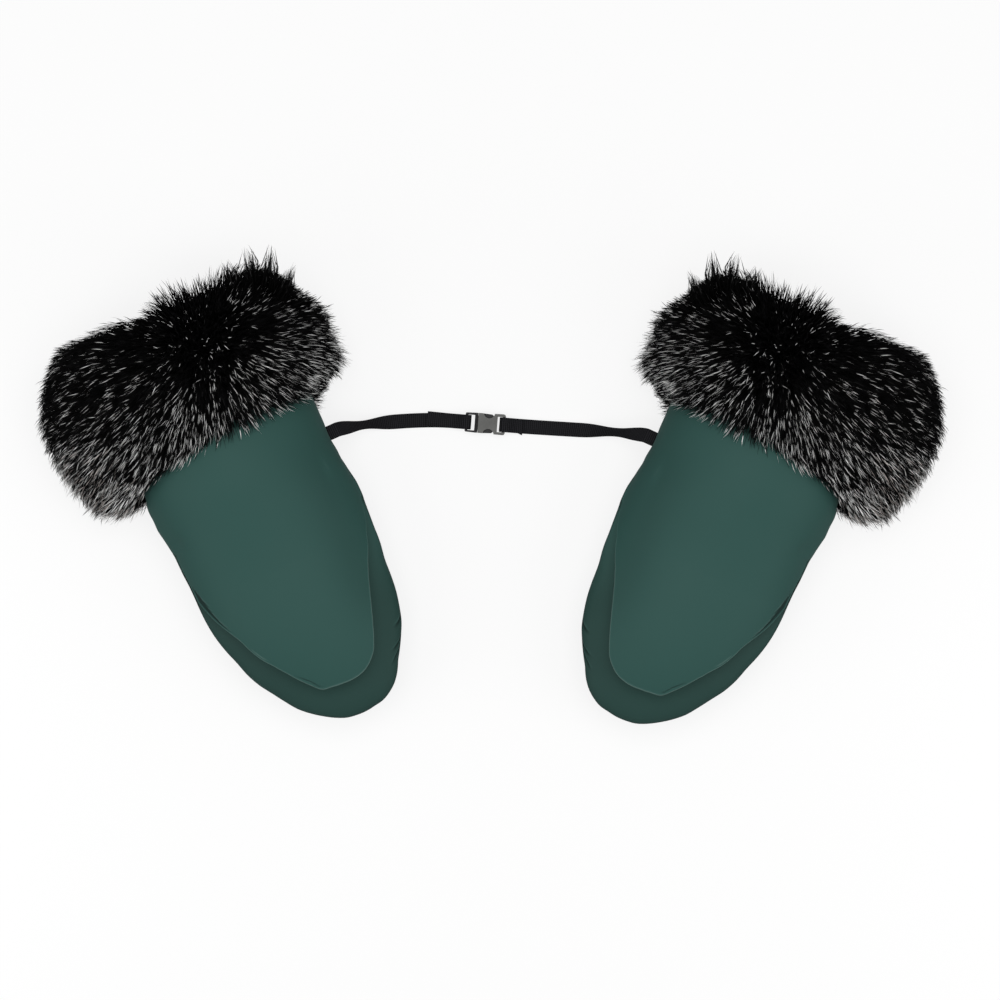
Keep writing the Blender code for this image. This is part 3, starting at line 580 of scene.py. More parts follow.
# Hook and loop tapes. Woven black nylon strips are sewn to the lip and to the inside of the flap, at
# the tip and on both flanks, to hold the mitt shut round a handlebar.
hook_nylon, tree, shader = new_finish("woven_nylon_hook_tape", "#202022", Roughness=0.6,
                                      Specular_IOR_Level=0.25)
place = add_node(tree, "ShaderNodeTexCoord").outputs["Object"]
# The hooks stand 1.4 mm apart, and their heads are painted paler, as a painted glint.
hooks = add_node(tree, "ShaderNodeTexVoronoi", {"Vector": place, "Scale": 714.0, "Randomness": 0.25})
heads = add_node(tree, "ShaderNodeMapRange", {"Value": hooks.outputs["Distance"],
                                              1: 0.15, 2: 0.45, 3: 1.0, 4: 0.0}).outputs[0]
colour_and_raise(tree, shader, heads, "#161617", "#3a3a3d", heads, 0.9, 0.0009)
loop_nylon, tree, shader = new_finish("brushed_nylon_loop_tape", "#19191a", Roughness=0.95,
                                      Specular_IOR_Level=0.1, Sheen_Weight=0.3, Sheen_Roughness=0.5)
place = add_node(tree, "ShaderNodeTexCoord").outputs["Object"]
# The tangled loops are 0.7 mm across, and dull.
loops = add_node(tree, "ShaderNodeTexNoise", {"Vector": place, "Scale": 1500.0, "Detail": 3.0,
                                              "Distortion": 2.0}).outputs["Fac"]
colour_and_raise(tree, shader, loops, "#111112", "#2c2c2e", loops, 0.8, 0.0006)

# Between which degrees round the tip each strip lies, and how far its upper face falls at its edges
tape_ends = {"tip": (75, 105), "outer": (15, 45), "inner": (135, 165)}
edge_fall = 0.0004
tape_rows = np.array([0.0, 0.04, 0.2, 0.4, 0.6, 0.8, 0.96, 1.0])
tape_fall = np.array([1.0, 0.15, 0.0, 0.0, 0.0, 0.0, 0.15, 1.0]) * edge_fall
for label, side in sides.items():
    for spot, (first, last) in tape_ends.items():
        places = np.linspace(first, last, 25)
        angles = flap_edge(places)[:, None] + lip_overlap * (0.14 + 0.72 * tape_rows)
        fall = np.broadcast_to(tape_fall, angles.shape).copy()
        fall[0] = fall[-1] = edge_fall
        for kind, finish, top, rise, body in (
                ("hook", hook_nylon, lip_sink - gap - tape_depth, 0.0, f"mitt_{label}"),
                ("loop", loop_nylon, front_wall + gap, gap, f"flap_{label}")):
            rounded = [top + (fall if kind == "hook" else 0.0),
                       top + tape_depth - (fall if kind == "loop" else 0.0)]
            layers = [on_mitt(places[:, None], angles, inset, rise) for inset in rounded]
            piece = grid_mesh(f"{kind}_strip_{spot}_{label}", layers, side, finish)
            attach(piece, body)
            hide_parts(f"{kind}_tape_{spot}_{label}")

# Mouth bindings. A black polyester grosgrain tape is folded over the raw edges of cloth, wadding and
# fleece at the mouth, and sewn through. It has fine ribs across its length.
grosgrain, tree, shader = new_finish("polyester_grosgrain_binding", "#161617", Roughness=0.8,
                                     Specular_IOR_Level=0.15)
place = add_node(tree, "ShaderNodeTexCoord").outputs["UV"]
# The ribs are about 0.5 mm apart.
ribs = add_node(tree, "ShaderNodeTexWave", {"Vector": place, "Scale": 2.0, "Distortion": 0.3},
                bands_direction="X").outputs["Fac"]
colour_and_raise(tree, shader, ribs, "#0e0e0f", "#232324", ribs, 0.5, 0.0003)


def round_wrist(turns, y, front_inset, back_inset):
    """Points round a mitt at y: turn 0 is its outward seam, 90 the crest, 180 the inward seam."""
    turns = np.asarray(turns, float)
    folded = 90 - np.abs((turns % 180) - 90)
    front = (turns % 360) <= 180
    outward = np.cos(np.radians(turns)) >= 0
    past = (np.asarray(y) - tip_length) * 1000
    places = np.where(outward, -past, 180 + past)
    return on_mitt(places, np.where(front, folded, -folded), np.where(front, front_inset, back_inset),
                   np.where(front, gap, 0.0))


def tube_mesh(name, rings, side, finish, uv_scale=None):
    """A closed tube: rings round a mitt, each a closed cross-section of points in the mitt's frame."""
    points = to_pair(rings, side)
    count, around = points.shape[:2]
    index = np.arange(count * around).reshape(count, around)
    ahead, across = np.roll(index, -1, axis=0), np.roll(index, -1, axis=1)
    quads = np.stack([index, ahead, np.roll(ahead, -1, axis=1), across], -1).reshape(-1, 4)
    piece = new_piece(name, points.reshape(-1, 3).tolist(), quads.tolist(), finish)
    if uv_scale:
        along, over = np.meshgrid(np.arange(count), np.arange(around), indexing="ij")
        corner = [(along, over), (along + 1, over), (along + 1, over + 1), (along, over + 1)]
        flat = np.stack([np.stack([a * uv_scale[0], b * uv_scale[1]], -1) for a, b in corner], 2)
        layer = piece.data.uv_layers.new(name="ribs")
        layer.uv.foreach_set("vector", flat.reshape(-1))
    face_outwards(piece)
    bpy.ops.object.shade_smooth()
    return piece


wrist_turns = np.arange(0, 360, 3.0)
binding_cap, binding_fold, binding_leg = 0.0022, 0.0008, 0.009
# (share of the wall from outside to inside, along the mitt, stand off the wall) round the folded tape
binding_section = ((0.0, -binding_leg, 0.4), (0.0, -binding_leg, 1.0), (0.0, -0.001, 1.0), (0.0, 0.0012, 0.8),
                   (0.12, 0.0020, 0.0), (0.5, binding_cap, 0.0), (0.88, 0.0020, 0.0), (1.0, 0.0012, -0.8),
                   (1.0, -0.001, -1.0), (1.0, -binding_leg, -1.0), (1.0, -binding_leg, -0.4),
                   (1.0, 0.0, -0.2), (0.5, gap, 0.0), (0.0, 0.0, 0.2))
for label, side in sides.items():
    rings = []
    for share, along, off in binding_section:
        rings.append(round_wrist(wrist_turns, mouth_y, front_wall * share - off * binding_fold,
                                 back_wall * share - off * binding_fold) + (0.0, along, 0.0))
    piece = tube_mesh(f"mouth_tape_{label}", np.stack(rings, axis=1), side, grosgrain, uv_scale=(1.0, 0.05))
    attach(piece, f"mitt_{label}")
    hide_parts(f"mouth_binding_{label}")

# Fur cuffs. A padded roll of knitted hide is sewn round each wrist and carries long modacrylic fur:
# dense black fur below, and guard hair with frosted tips that parts from the middle of the cuff.
cuff_half_width, cuff_shift, cuff_top = 0.103, 0.011, 0.108
cuff_low, cuff_high, cuff_slant, cuff_side_drop, cuff_crest_rise = 0.2065, 0.322, 0.0075, 0.004, 0.011
hide_level, hide_widening, hair_room = 0.004, 0.004, 0.013

knit_back, tree, shader = new_finish("knitted_fur_backing", "#050505", Roughness=1.0, Specular_IOR_Level=0.0)
place = add_node(tree, "ShaderNodeTexCoord").outputs["Object"]
# The stitches are 1.1 mm apart.
knit = add_node(tree, "ShaderNodeTexNoise", {"Vector": place, "Scale": 900.0, "Detail": 3.0}).outputs["Fac"]
colour_and_raise(tree, shader, knit, "#020202", "#0b0b0b", knit, 1.0, 0.002)

# A hair's map gives its kind from left to right, and runs upwards from its root to its tip. The kinds are
# black hair, hair with a pale grey tip, and the paler brownish hair of the outward corner.
fur_hair, tree, shader = new_finish("modacrylic_fur_hair", "#0a0a0a", Roughness=0.6,
                                    Specular_IOR_Level=0.03)
hair_map = add_node(tree, "ShaderNodeUVMap", uv_map="OFBake").outputs["UV"]
kind_and_run = add_node(tree, "ShaderNodeSeparateXYZ", {0: hair_map})
tips = add_node(tree, "ShaderNodeValToRGB", {0: kind_and_run.outputs["X"]})
kind_colours = tips.color_ramp.elements
kind_colours[0].color, kind_colours[1].color = linear("#070708"), linear("#d6cdc8")
for position, colour in ((0.28, "#121213"), (0.40, "#7a7a7a"), (0.58, "#d4d4d2"), (0.80, "#ffffff"),
                         (0.82, "#9c9591")):
    kind_colours.new(position).color = linear(colour)
# Below its last fifth or quarter every hair is black.
frosted = add_node(tree, "ShaderNodeMapRange", {"Value": kind_and_run.outputs["Y"], 1: 0.69, 2: 0.76})
shade = add_node(tree, "ShaderNodeMix", {0: frosted.outputs[0], 6: linear("#030303"),
                                         7: tips.outputs["Color"]}, data_type="RGBA")
tree.links.new(shade.outputs[2], shader.inputs["Base Color"])


def hide_rings(turns, shares, room):
    """The hide's outer face: columns round the wrist, rows from its seam to the mouth."""
    turn = np.radians(turns)[:, None]
    seat = round_wrist(turns, mouth_y, -gap, -gap)
    base_x, base_z = seat[:, 0][:, None], seat[:, 2][:, None]
    low = (cuff_low - cuff_slant * np.cos(turn) - cuff_side_drop * np.cos(turn) ** 2 + room * 0.8
           + cuff_crest_rise * np.maximum(np.sin(turn), 0) ** 0.6)
    along = (1 - np.cos(np.pi * shares)) / 2
    # The roll is fuller on the outward side, and falls away towards the mouth.
    outward = 0.5 + 0.5 * np.cos(turn)
    falling = 0.15 + 0.45 * outward + 0.65 * (1 - outward) ** 3
    out = np.sin(np.pi * shares) ** (0.75 - 0.3 * outward + falling * along)
    far_x = cuff_shift + (cuff_half_width + hide_widening - room) * np.cos(turn)
    far_z = np.where(np.sin(turn) >= 0, seam_height + (cuff_top - room - seam_height) * np.sin(turn),
                     seam_height - (seam_height - hide_level) * np.minimum(1.0, -1.6 * np.sin(turn)))
    x = base_x + (far_x - base_x) * out
    y = low + (cuff_high - room - low) * along
    z = np.maximum(hide_level, base_z + (far_z - base_z) * out)
    return np.stack([x, y, z], axis=-1)


def scatter(points, count, rng):
    """Roots and normals spread evenly over a grid of points that is closed round."""
    ahead = np.roll(points, -1, axis=0)
    corners = [points[:, :-1], ahead[:, :-1], ahead[:, 1:], points[:, 1:]]
    normal = unit(np.cross(np.gradient(points, axis=1), ahead - np.roll(points, 1, axis=0)))
    next_normal = np.roll(normal, -1, axis=0)
    normals = [normal[:, :-1], next_normal[:, :-1], next_normal[:, 1:], normal[:, 1:]]
    area = np.linalg.norm(np.cross(corners[2] - corners[0], corners[3] - corners[1]), axis=-1).reshape(-1)
    chosen = rng.choice(len(area), count, p=area / area.sum())
    a, b = rng.random((2, count, 1))
    weights = [(1 - a) * (1 - b), a * (1 - b), a * b, (1 - a) * b]
    roots = sum(w * c.reshape(-1, 3)[chosen] for w, c in zip(weights, corners))
    facing = sum(w * n.reshape(-1, 3)[chosen] for w, n in zip(weights, normals))
    return roots, unit(facing)


# Where the fur parts, how little a root's height counts in that, how far off the hair lies over fully,
# how much it stands up, and how much each hair strays
parting = np.array([-0.014, 0.283, 0.08])
height_share, parting_radius, upright, stray = 0.35, 0.05, 0.8, 0.22


def combed(roots, facing, rng):
    """The direction in which each hair lies: out of the hide, and away from the parting."""
    away = roots - parting
    away[:, 2] *= height_share
    away -= facing * np.sum(away * facing, axis=1, keepdims=True)
    lying = ease(np.linalg.norm(away, axis=1, keepdims=True) / parting_radius)
    return unit(facing * upright + unit(away) * lying + rng.normal(0, stray, roots.shape))


# A hair bends over from this share of its length, and none goes below this level.
bend_share, lowest_hair = 0.42, 0.0004
# What a hair takes up of its map, and the map's margin
map_width, map_height, map_top, map_margin = 0.006, 0.9, 0.99, 0.005


def hair_mesh(name, roots, facing, tips, radius, kinds, reach_on_map, stops, side, finish):
    """Tapered three-sided hairs, curved from their facing at the root over to their tips."""
    count = len(roots)
    length = np.linalg.norm(tips - roots, axis=1, keepdims=True)
    middle = roots + facing * length * bend_share
    across = unit(np.cross(tips - roots, facing + 0.01))
    beside = unit(np.cross(tips - roots, across))
    rings = []
    for stop, share in stops[:-1]:
        centre = roots * (1 - stop) ** 2 + middle * 2 * stop * (1 - stop) + tips * stop ** 2
        for third in range(3):
            turn = math.radians(120 * third + 30)
            sideways = across * math.cos(turn) + beside * math.sin(turn)
            rings.append(centre + sideways * radius[:, None] * share)
    points = np.stack(rings + [tips], axis=1)
    points[..., 2] = np.maximum(points[..., 2], lowest_hair)
    levels = len(stops) - 1
    per_hair = 3 * levels + 1
    faces, runs, widths = [], [], []
    for level in range(levels - 1):
        for third in range(3):
            a, b = 3 * level + third, 3 * level + (third + 1) % 3
            faces += [(a, b, b + 3), (a, b + 3, a + 3)]
            low, high = stops[level][0], stops[level + 1][0]
            runs += [(low, low, high), (low, high, high)]
            widths += [(0, 1, 1), (0, 1, 0)]
    for third in range(3):
        a, b = 3 * (levels - 1) + third, 3 * (levels - 1) + (third + 1) % 3
        faces.append((a, b, per_hair - 1))
        runs.append((stops[levels - 1][0], stops[levels - 1][0], 1.0))
        widths.append((0, 1, 0.5))
    faces.append((2, 1, 0))
    runs.append((0.0, 0.0, 0.02))
    widths.append((0, 1, 0.5))
    faces = np.array(faces)[None] + (np.arange(count) * per_hair)[:, None, None]
    places = to_pair(points.reshape(-1, 3), side)
    piece = new_piece(name, places.tolist(), faces.reshape(-1, 3).tolist(), finish)
    u = kinds[:, None, None] + map_width * np.array(widths)[None]
    v = np.array(runs)[None] * reach_on_map[:, None, None]
    spots = np.stack([u, np.minimum(v * map_height, map_top) + map_margin], axis=-1)
    piece.data.uv_layers.new(name="OFBake").uv.foreach_set("vector", spots.reshape(-1))
    if side < 0:
        piece.data.flip_normals()
    piece.data.shade_smooth()
    return piece


fur_seed = 11
hide_shares, inner_rows = np.linspace(0.0, 1.0, 34), 6
# How many locks there are, how long, how far they differ in paleness, and which hairs reach their tips
lock_count, lock_lengths, lock_paleness, usual_length = 1900, (0.019, 0.026), 0.13, 0.021
# The fur is blacker this close to the parting.
dark_radius = 0.022
# How far along a hair each ring of it lies, and how thick it is there
long_stops = ((0.0, 0.8), (0.45, 1.0), (0.87, 1.0), (1.0, 0.0))
short_stops = ((0.0, 1.0), (0.66, 0.95), (1.0, 0.0))
# Where each kind of hair lies on the map
black_kinds, tuft_kinds, pale_kinds, brown_kinds = (0.0, 0.30), (0.15, 0.36), (0.53, 0.79), (0.83, 0.99)
# Each coat's count, radius, stops, least and greatest length, pull towards its lock, and pale share
coats = {"guard_hair": (12000, 0.00022, long_stops, 0.016, 0.023, 0.34, 0.24),
         "fine_hair": (19000, 0.000155, short_stops, 0.015, 0.022, 0.42, 0.19),
         "underfur": (17000, 0.00046, short_stops, 0.011, 0.017, 0.30, 0.0)}
# Tufts that stand out at the mouth's inward corner: where each is rooted, and its tip. A hair rooted so
# near, and so high, may join it, and its tip then lies about the tuft's.
tuft_radius, tuft_share, tuft_floor, tuft_spread = 0.006, 0.7, 0.05, 0.0020
tufts = (((-0.054, 0.298), (-0.0664, 0.3267, 0.086)), ((-0.060, 0.293), (-0.0819, 0.3212, 0.080)),
         ((-0.068, 0.283), (-0.0883, 0.3042, 0.070)), ((-0.044, 0.302), (-0.0480, 0.3240, 0.092)))
for label, side in sides.items():
    rng = np.random.default_rng(fur_seed)
    hide = hide_rings(wrist_turns, hide_shares, hair_room)
    seat = round_wrist(wrist_turns, mouth_y, -gap, -gap)[:, None, :]
    seat_y = np.linspace(1, 0, inner_rows + 2)[None, 1:-1]
    inside = np.broadcast_to(seat, (len(wrist_turns), inner_rows, 3)).copy()
    inside[..., 1] = hide[:, :1, 1] + (hide[:, -1:, 1] - hide[:, :1, 1]) * seat_y
    piece = tube_mesh(f"fur_hide_{label}", np.concatenate([hide, inside], axis=1), side, knit_back)
    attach(piece, f"mitt_{label}")
    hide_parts(f"fur_cuff_{label}")

    lock_roots, lock_facing = scatter(hide, lock_count, rng)
    lock_tips = combed(lock_roots, lock_facing, rng) * rng.uniform(*lock_lengths, (lock_count, 1))
    lock_pale = rng.normal(0.0, lock_paleness, lock_count)
    for kind, (count, radius, stops, least, greatest, pull, pale_share) in coats.items():
        roots, facing = scatter(hide, count, rng)
        out, along = roots[:, 0], roots[:, 1]
        nearest = np.concatenate([np.argmin(np.sum((part[:, None] - lock_roots[None]) ** 2, axis=-1), axis=1)
                                  for part in np.array_split(roots, 24)])
        # The mouth's edge has a cleft with fuller hair beside it, and both its corners are short.
        by_mouth = ease((along - 0.280) / 0.02)
        cleft = hump(out, 0.0165, 0.008) * by_mouth
        full = hump(out, -0.003, 0.010) * by_mouth
        corner = ease((-out - 0.040) / 0.030) * ease((along - 0.265) / 0.03)
        far_corner = ease((out - 0.065) / 0.015) * by_mouth
        waist = ease((-out - 0.070) / 0.010) * hump(along, 0.243, 0.012)
        low_corner = ease((-out - 0.053) / 0.012) * ease((0.240 - along) / 0.012)
        length = rng.uniform(least, greatest, count) * (
            1 - 0.5 * cleft + 0.2 * full - 0.55 * corner - 0.16 * far_corner + 0.15 * waist
            - 0.55 * low_corner)
        reach = combed(roots, facing, rng) * length[:, None]
        gathered = (lock_roots[nearest] + lock_tips[nearest] * (length / usual_length)[:, None]
                    + (roots - lock_roots[nearest]) * 0.3)
        amount = pull * rng.uniform(0.4, 1.4, (count, 1))
        tips = (roots + reach) * (1 - amount) + gathered * amount
        in_tuft = np.zeros(count, bool)
        for base, tip in tufts:
            near = np.exp(-np.sum((roots[:, :2] - base) ** 2, axis=1) / tuft_radius ** 2)
            joins = (rng.random(count) < tuft_share * near) & (roots[:, 2] > tuft_floor)
            ends = (roots + (np.array(tip) - roots) * rng.uniform(0.45, 1.05, (count, 1))
                    + rng.normal(0, tuft_spread, (count, 3)))
            tips = np.where(joins[:, None], ends, tips)
            in_tuft |= joins
        # Pale tips come in whole locks, mostly low on the cuff, and few by the parting.
        lobe = ease((out - 0.055) / 0.03) * ease((0.262 - along) / 0.03)
        low = ease((0.290 - along) / 0.06)
        inward = ease((-out - 0.03) / 0.04)
        centre = np.exp(-np.sum((roots[:, :2] - parting[:2]) ** 2, axis=1) / dark_radius ** 2)
        chance = pale_share * ~in_tuft * (0.36 + 1.15 * low + 0.22 * inward - 0.34 * centre
                                          + 3.3 * lock_pale[nearest] * (1 - 0.7 * centre))
        drawn = rng.random(count)
        kinds = np.where(drawn < chance, rng.uniform(*pale_kinds, count), rng.uniform(*black_kinds, count))
        brownish = (pale_share > 0) & (rng.random(count) < 0.18 * lobe)
        kinds = np.where(brownish, rng.uniform(*brown_kinds, count), kinds)
        kinds = np.where(in_tuft, rng.uniform(*tuft_kinds, count), kinds)
        radii = radius * rng.uniform(0.7, 1.3, count)
        reach_on_map = rng.uniform(0.88, 1.08, count) + 0.10 * low + 0.08 * lobe
        piece = hair_mesh(f"fur_{kind}_{label}", roots, facing, tips, radii, kinds, reach_on_map, stops, side,
                          fur_hair)
        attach(piece, f"mitt_{label}")

# Straps. Each half is 10 mm polypropylene webbing, sewn into a mitt's side seam, turned over on its
# way down to the floor, and doubled back round a bar of the buckle. It has ribs across it.
webbing_width, webbing_depth = 0.0103, 0.0013
# The level of its middle where it lies on the floor
webbing_low = webbing_depth / 2 + 0.0001
# From the seam it runs straight out, twists and drops over these shares of its way, and lands straight
strap_y, strap_lead, strap_swing, strap_straight = 0.1885, 0.006, 0.006, 0.030
strap_twist, twist_from, twist_to, drop_share = math.radians(56.0), 0.06, 0.66, 0.55
# Where the buckle lies, and the bars that the webbing goes round
buckle_place = Vector((-0.0037, 0.0455 + pair_shift, 0.0))
buckle_turn = Matrix.Rotation(math.radians(-4.5), 3, "Z")
buckle_height = 0.0066
bar_length, bar_height = 0.0020, 0.0022
plug_end, socket_end = -0.0151, 0.0132
wrap_radius = math.hypot(bar_length, bar_height) / 2 + gap + webbing_depth / 2
# Beside its bar the doubled webbing comes together over this run, to this gap
fold_run, fold_gap = 0.010, 0.0004
# Each half's bar, the length of its tail, and how far askew the tail ends
strap_ends = {"left": (plug_end + bar_length / 2 + 0.0003, 0.028, 0.0003),
              "right": (socket_end - bar_length / 2, 0.0135, -0.0011)}

webbing_weave, tree, shader = new_finish("woven_polypropylene_webbing", "#161618", Roughness=0.6,
                                         Specular_IOR_Level=0.05)
weave_map = add_node(tree, "ShaderNodeUVMap", uv_map="weave").outputs["UV"]
# The map is in millimetres across and along. The ribs are 0.7 mm apart, drawn at 1.4 mm.
along = add_node(tree, "ShaderNodeSeparateXYZ", {0: weave_map})
rib_phase = add_node(tree, "ShaderNodeMath", {0: along.outputs["Y"], 1: math.tau / 1.4}, operation="MULTIPLY")
rib = add_node(tree, "ShaderNodeMath", {0: rib_phase.outputs[0]}, operation="SINE")
yarn_phase = add_node(tree, "ShaderNodeMath", {0: along.outputs["X"], 1: math.tau / 1.3},
                      operation="MULTIPLY")
yarn = add_node(tree, "ShaderNodeMath", {0: yarn_phase.outputs[0]}, operation="SINE")
fine = add_node(tree, "ShaderNodeMath", {0: yarn.outputs[0], 1: 0.25}, operation="MULTIPLY")
raised = add_node(tree, "ShaderNodeMath", {0: rib.outputs[0], 1: fine.outputs[0]}, operation="ADD")
level = add_node(tree, "ShaderNodeMapRange", {"Value": raised.outputs[0], 1: -1.25, 2: 1.25}).outputs[0]
colour_and_raise(tree, shader, level, "#060607", "#252528", level, 0.6, 0.0004)


def in_buckle(x, y, z):
    """A place in the buckle's frame, in the pair's."""
    return buckle_place + buckle_turn @ Vector((x, y, z))


def in_mitt(side, x, y, z):
    return Vector(to_pair((x, y, z), side))


def strap_line(side, bar_x, tail, skew):
    """Places and width directions along one half of the strap, from inside the seam to its tail's end.
    The tail lies askew, by skew at its end."""
    seam_z = seam_height - webbing_depth / 2
    across = in_mitt(side, 0.0, 1.0, 0.0) - in_mitt(side, 0.0, 0.0, 0.0)
    away = in_mitt(side, -1.0, 0.0, 0.0) - in_mitt(side, 0.0, 0.0, 0.0)
    axis = buckle_turn @ Vector((side, 0.0, 0.0))
    buckle_across = buckle_turn @ Vector((0.0, 1.0, 0.0))
    seam_x = -half_width - float(lean_at(strap_y))
    line = [(in_mitt(side, seam_x + back_wall, strap_y, seam_z), across),
            (in_mitt(side, seam_x, strap_y, seam_z), across)]
    lead_end = in_mitt(side, seam_x - strap_lead, strap_y, seam_z)
    fold_start = in_buckle(bar_x + side * fold_run, 0.0, webbing_low)
    corners = (lead_end, lead_end + away * strap_swing, fold_start + axis * strap_straight, fold_start)
    for share in np.linspace(0, 1, 101)[:-1]:
        rest = 1 - share
        place = (corners[0] * rest ** 3 + corners[1] * 3 * rest * rest * share
                 + corners[2] * 3 * rest * share * share + corners[3] * share ** 3)
        turned = min(max((share - twist_from) / (twist_to - twist_from), 0.0), 1.0)
        roll = strap_twist * math.sin(math.pi * turned) ** 2
        drop = float(ease(share / drop_share))
        place.z = seam_z + (webbing_low - seam_z) * drop + webbing_width / 2 * math.sin(roll) * drop
        flat = across.lerp(buckle_across, float(ease(share)))
        flat = (flat - Vector((0.0, 0.0, flat.z))).normalized()
        line.append((place, flat * math.cos(roll) + Vector((0.0, 0.0, math.sin(roll)))))
    for share in np.linspace(0, 1, 6)[:-1]:
        line.append((fold_start.lerp(in_buckle(bar_x, 0.0, webbing_low), share), buckle_across))
    middle = buckle_height / 2
    for turn in np.linspace(0, math.pi, 17):
        line.append((in_buckle(bar_x - side * wrap_radius * math.sin(turn), 0.0,
                               middle - wrap_radius * math.cos(turn)), buckle_across))
    tail_z = webbing_low + webbing_depth + fold_gap
    for share in np.linspace(0, 1, 9)[1:]:
        z = middle + wrap_radius + (tail_z - middle - wrap_radius) * float(ease(share))
        line.append((in_buckle(bar_x + side * fold_run * share, 0.0, z), buckle_across))
    for share in np.linspace(0, 1, 9)[1:]:
        run = fold_run + (tail - fold_run) * share
        line.append((in_buckle(bar_x + side * run, skew * float(ease(share)), tail_z), buckle_across))
    return line


# Half widths and half depths round the webbing's rounded section, and a half width on the map
half_width_mm = 5
section = [(-0.93, -1.0), (-0.5, -1.0), (0.0, -1.0), (0.5, -1.0), (0.93, -1.0), (1.0, -0.5), (1.0, 0.5),
           (0.93, 1.0), (0.5, 1.0), (0.0, 1.0), (-0.5, 1.0), (-0.93, 1.0), (-1.0, 0.5), (-1.0, -0.5)]
for label, side in sides.items():
    line = strap_line(side, *strap_ends[label])
    points, runs = [], [0.0]
    for k, (place, across) in enumerate(line):
        ahead = line[min(k + 1, len(line) - 1)][0] - line[max(k - 1, 0)][0]
        wide = across.normalized() * webbing_width / 2
        thick = wide.cross(ahead).normalized() * webbing_depth / 2
        points += [place + wide * a + thick * b for a, b in section]
        if k:
            runs.append(runs[-1] + (place - line[k - 1][0]).length * 1000)
    around = len(section)
    faces, marks = [], []
    for k in range(len(line) - 1):
        for i in range(around):
            j = (i + 1) % around
            faces.append((k * around + i, k * around + j, (k + 1) * around + j, (k + 1) * around + i))
            near, far = section[i][0] * half_width_mm, section[j][0] * half_width_mm
            marks += [(near, runs[k]), (far, runs[k]), (far, runs[k + 1]), (near, runs[k + 1])]
    last = (len(line) - 1) * around
    faces += [tuple(range(around))[::-1], tuple(last + i for i in range(around))]
    marks += [(section[i][0] * half_width_mm, 0.0) for i in reversed(range(around))]
    marks += [(section[i][0] * half_width_mm, runs[-1]) for i in range(around)]
    strap = new_piece(f"webbing_strap_{label}", [tuple(p) for p in points], faces, webbing_weave)
    strap.data.uv_layers.new(name="weave").uv.foreach_set("vector", np.array(marks).reshape(-1))
    face_outwards(strap)
    bpy.ops.object.shade_smooth_by_angle(angle=math.radians(50))
    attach(strap, f"mitt_{label}")
    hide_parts(f"strap_{label}")

# Buckle. A side-release buckle moulded in acetal: a grey socket, and a black plug with two sprung
# prongs that show in the socket's waist. The moulding leaves a fine matt grain.
plastics = {}
for name, colour, dark, pale in (("moulded_grey_acetal", "#5c5c5a", "#525250", "#666664"),
                                 ("moulded_black_acetal", "#111112", "#0c0c0d", "#19191a")):
    plastics[name], tree, shader = new_finish(name, colour, Roughness=0.42, Specular_IOR_Level=0.2, IOR=1.48)
    place = add_node(tree, "ShaderNodeTexCoord").outputs["Object"]
    # The spark-eroded grain is 0.1 mm, drawn at 0.4 mm. The colour varies where the plastic flowed.
    grain = add_node(tree, "ShaderNodeTexNoise", {"Vector": place, "Scale": 2500.0, "Detail": 2.0})
    flow = add_node(tree, "ShaderNodeTexNoise", {"Vector": place, "Scale": 160.0, "Detail": 2.0})
    colour_and_raise(tree, shader, flow.outputs["Fac"], dark, pale, grain.outputs["Fac"], 0.15, 0.0002)


def select_edges(piece, chosen):
    """Selects in edit mode the edges whose two ends pass the test."""
    take(piece)
    bpy.ops.object.mode_set(mode="EDIT")
    bpy.ops.mesh.select_mode(type="EDGE")
    bpy.ops.mesh.select_all(action="DESELECT")
    bpy.ops.object.mode_set(mode="OBJECT")
    points = piece.data.vertices
    for edge in piece.data.edges:
        edge.select = chosen(points[edge.vertices[0]].co, points[edge.vertices[1]].co)
    bpy.ops.object.mode_set(mode="EDIT")


def block(name, low, high, rounding=0.0):
    """A block between two corners, in millimetres in the buckle's frame, its upright edges rounded."""
    bpy.ops.object.select_all(action="DESELECT")
    bpy.ops.mesh.primitive_cube_add(size=1.0, location=[(a + b) / 2000 for a, b in zip(low, high)],
                                    scale=[(b - a) / 1000 for a, b in zip(low, high)])
    piece = bpy.context.object
    piece.name = piece.data.name = name
    bpy.ops.object.transform_apply(location=True, rotation=False, scale=True)
    if rounding:
        select_edges(piece, lambda a, b: abs(a.z - b.z) > 1e-6)
        bpy.ops.mesh.bevel(offset=rounding / 1000, segments=5)
        bpy.ops.object.mode_set(mode="OBJECT")
    return piece


def combine(piece, tool, operation):
    """Cuts a tool out of a piece or joins it on, and takes the tool away."""
    change(piece, "BOOLEAN", operation=operation, object=tool, solver="EXACT")
    bpy.data.objects.remove(tool)


def fit_in_buckle(piece, finish, body, node):
    """Turns a finished piece into its place in the pair and gives it to its body."""
    take(piece)
    piece.matrix_world = Matrix.Translation(buckle_place) @ buckle_turn.to_4x4()
    bpy.ops.object.transform_apply(location=True, rotation=True, scale=True)
    piece.data.materials.clear()
    piece.data.materials.append(plastics[finish])
    face_outwards(piece)
    bpy.ops.object.shade_smooth_by_angle(angle=math.radians(35))
    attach(piece, body)
    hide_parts(node)


# The round cuts that draw in the socket's sides
waist_radius, waist_x, waist_across = 0.0040, 0.0016, 0.0078
# Each bar is cut free below and above between these heights, in millimetres
round_the_bar = ((-1.0, 2.2), (4.4, 8.0))
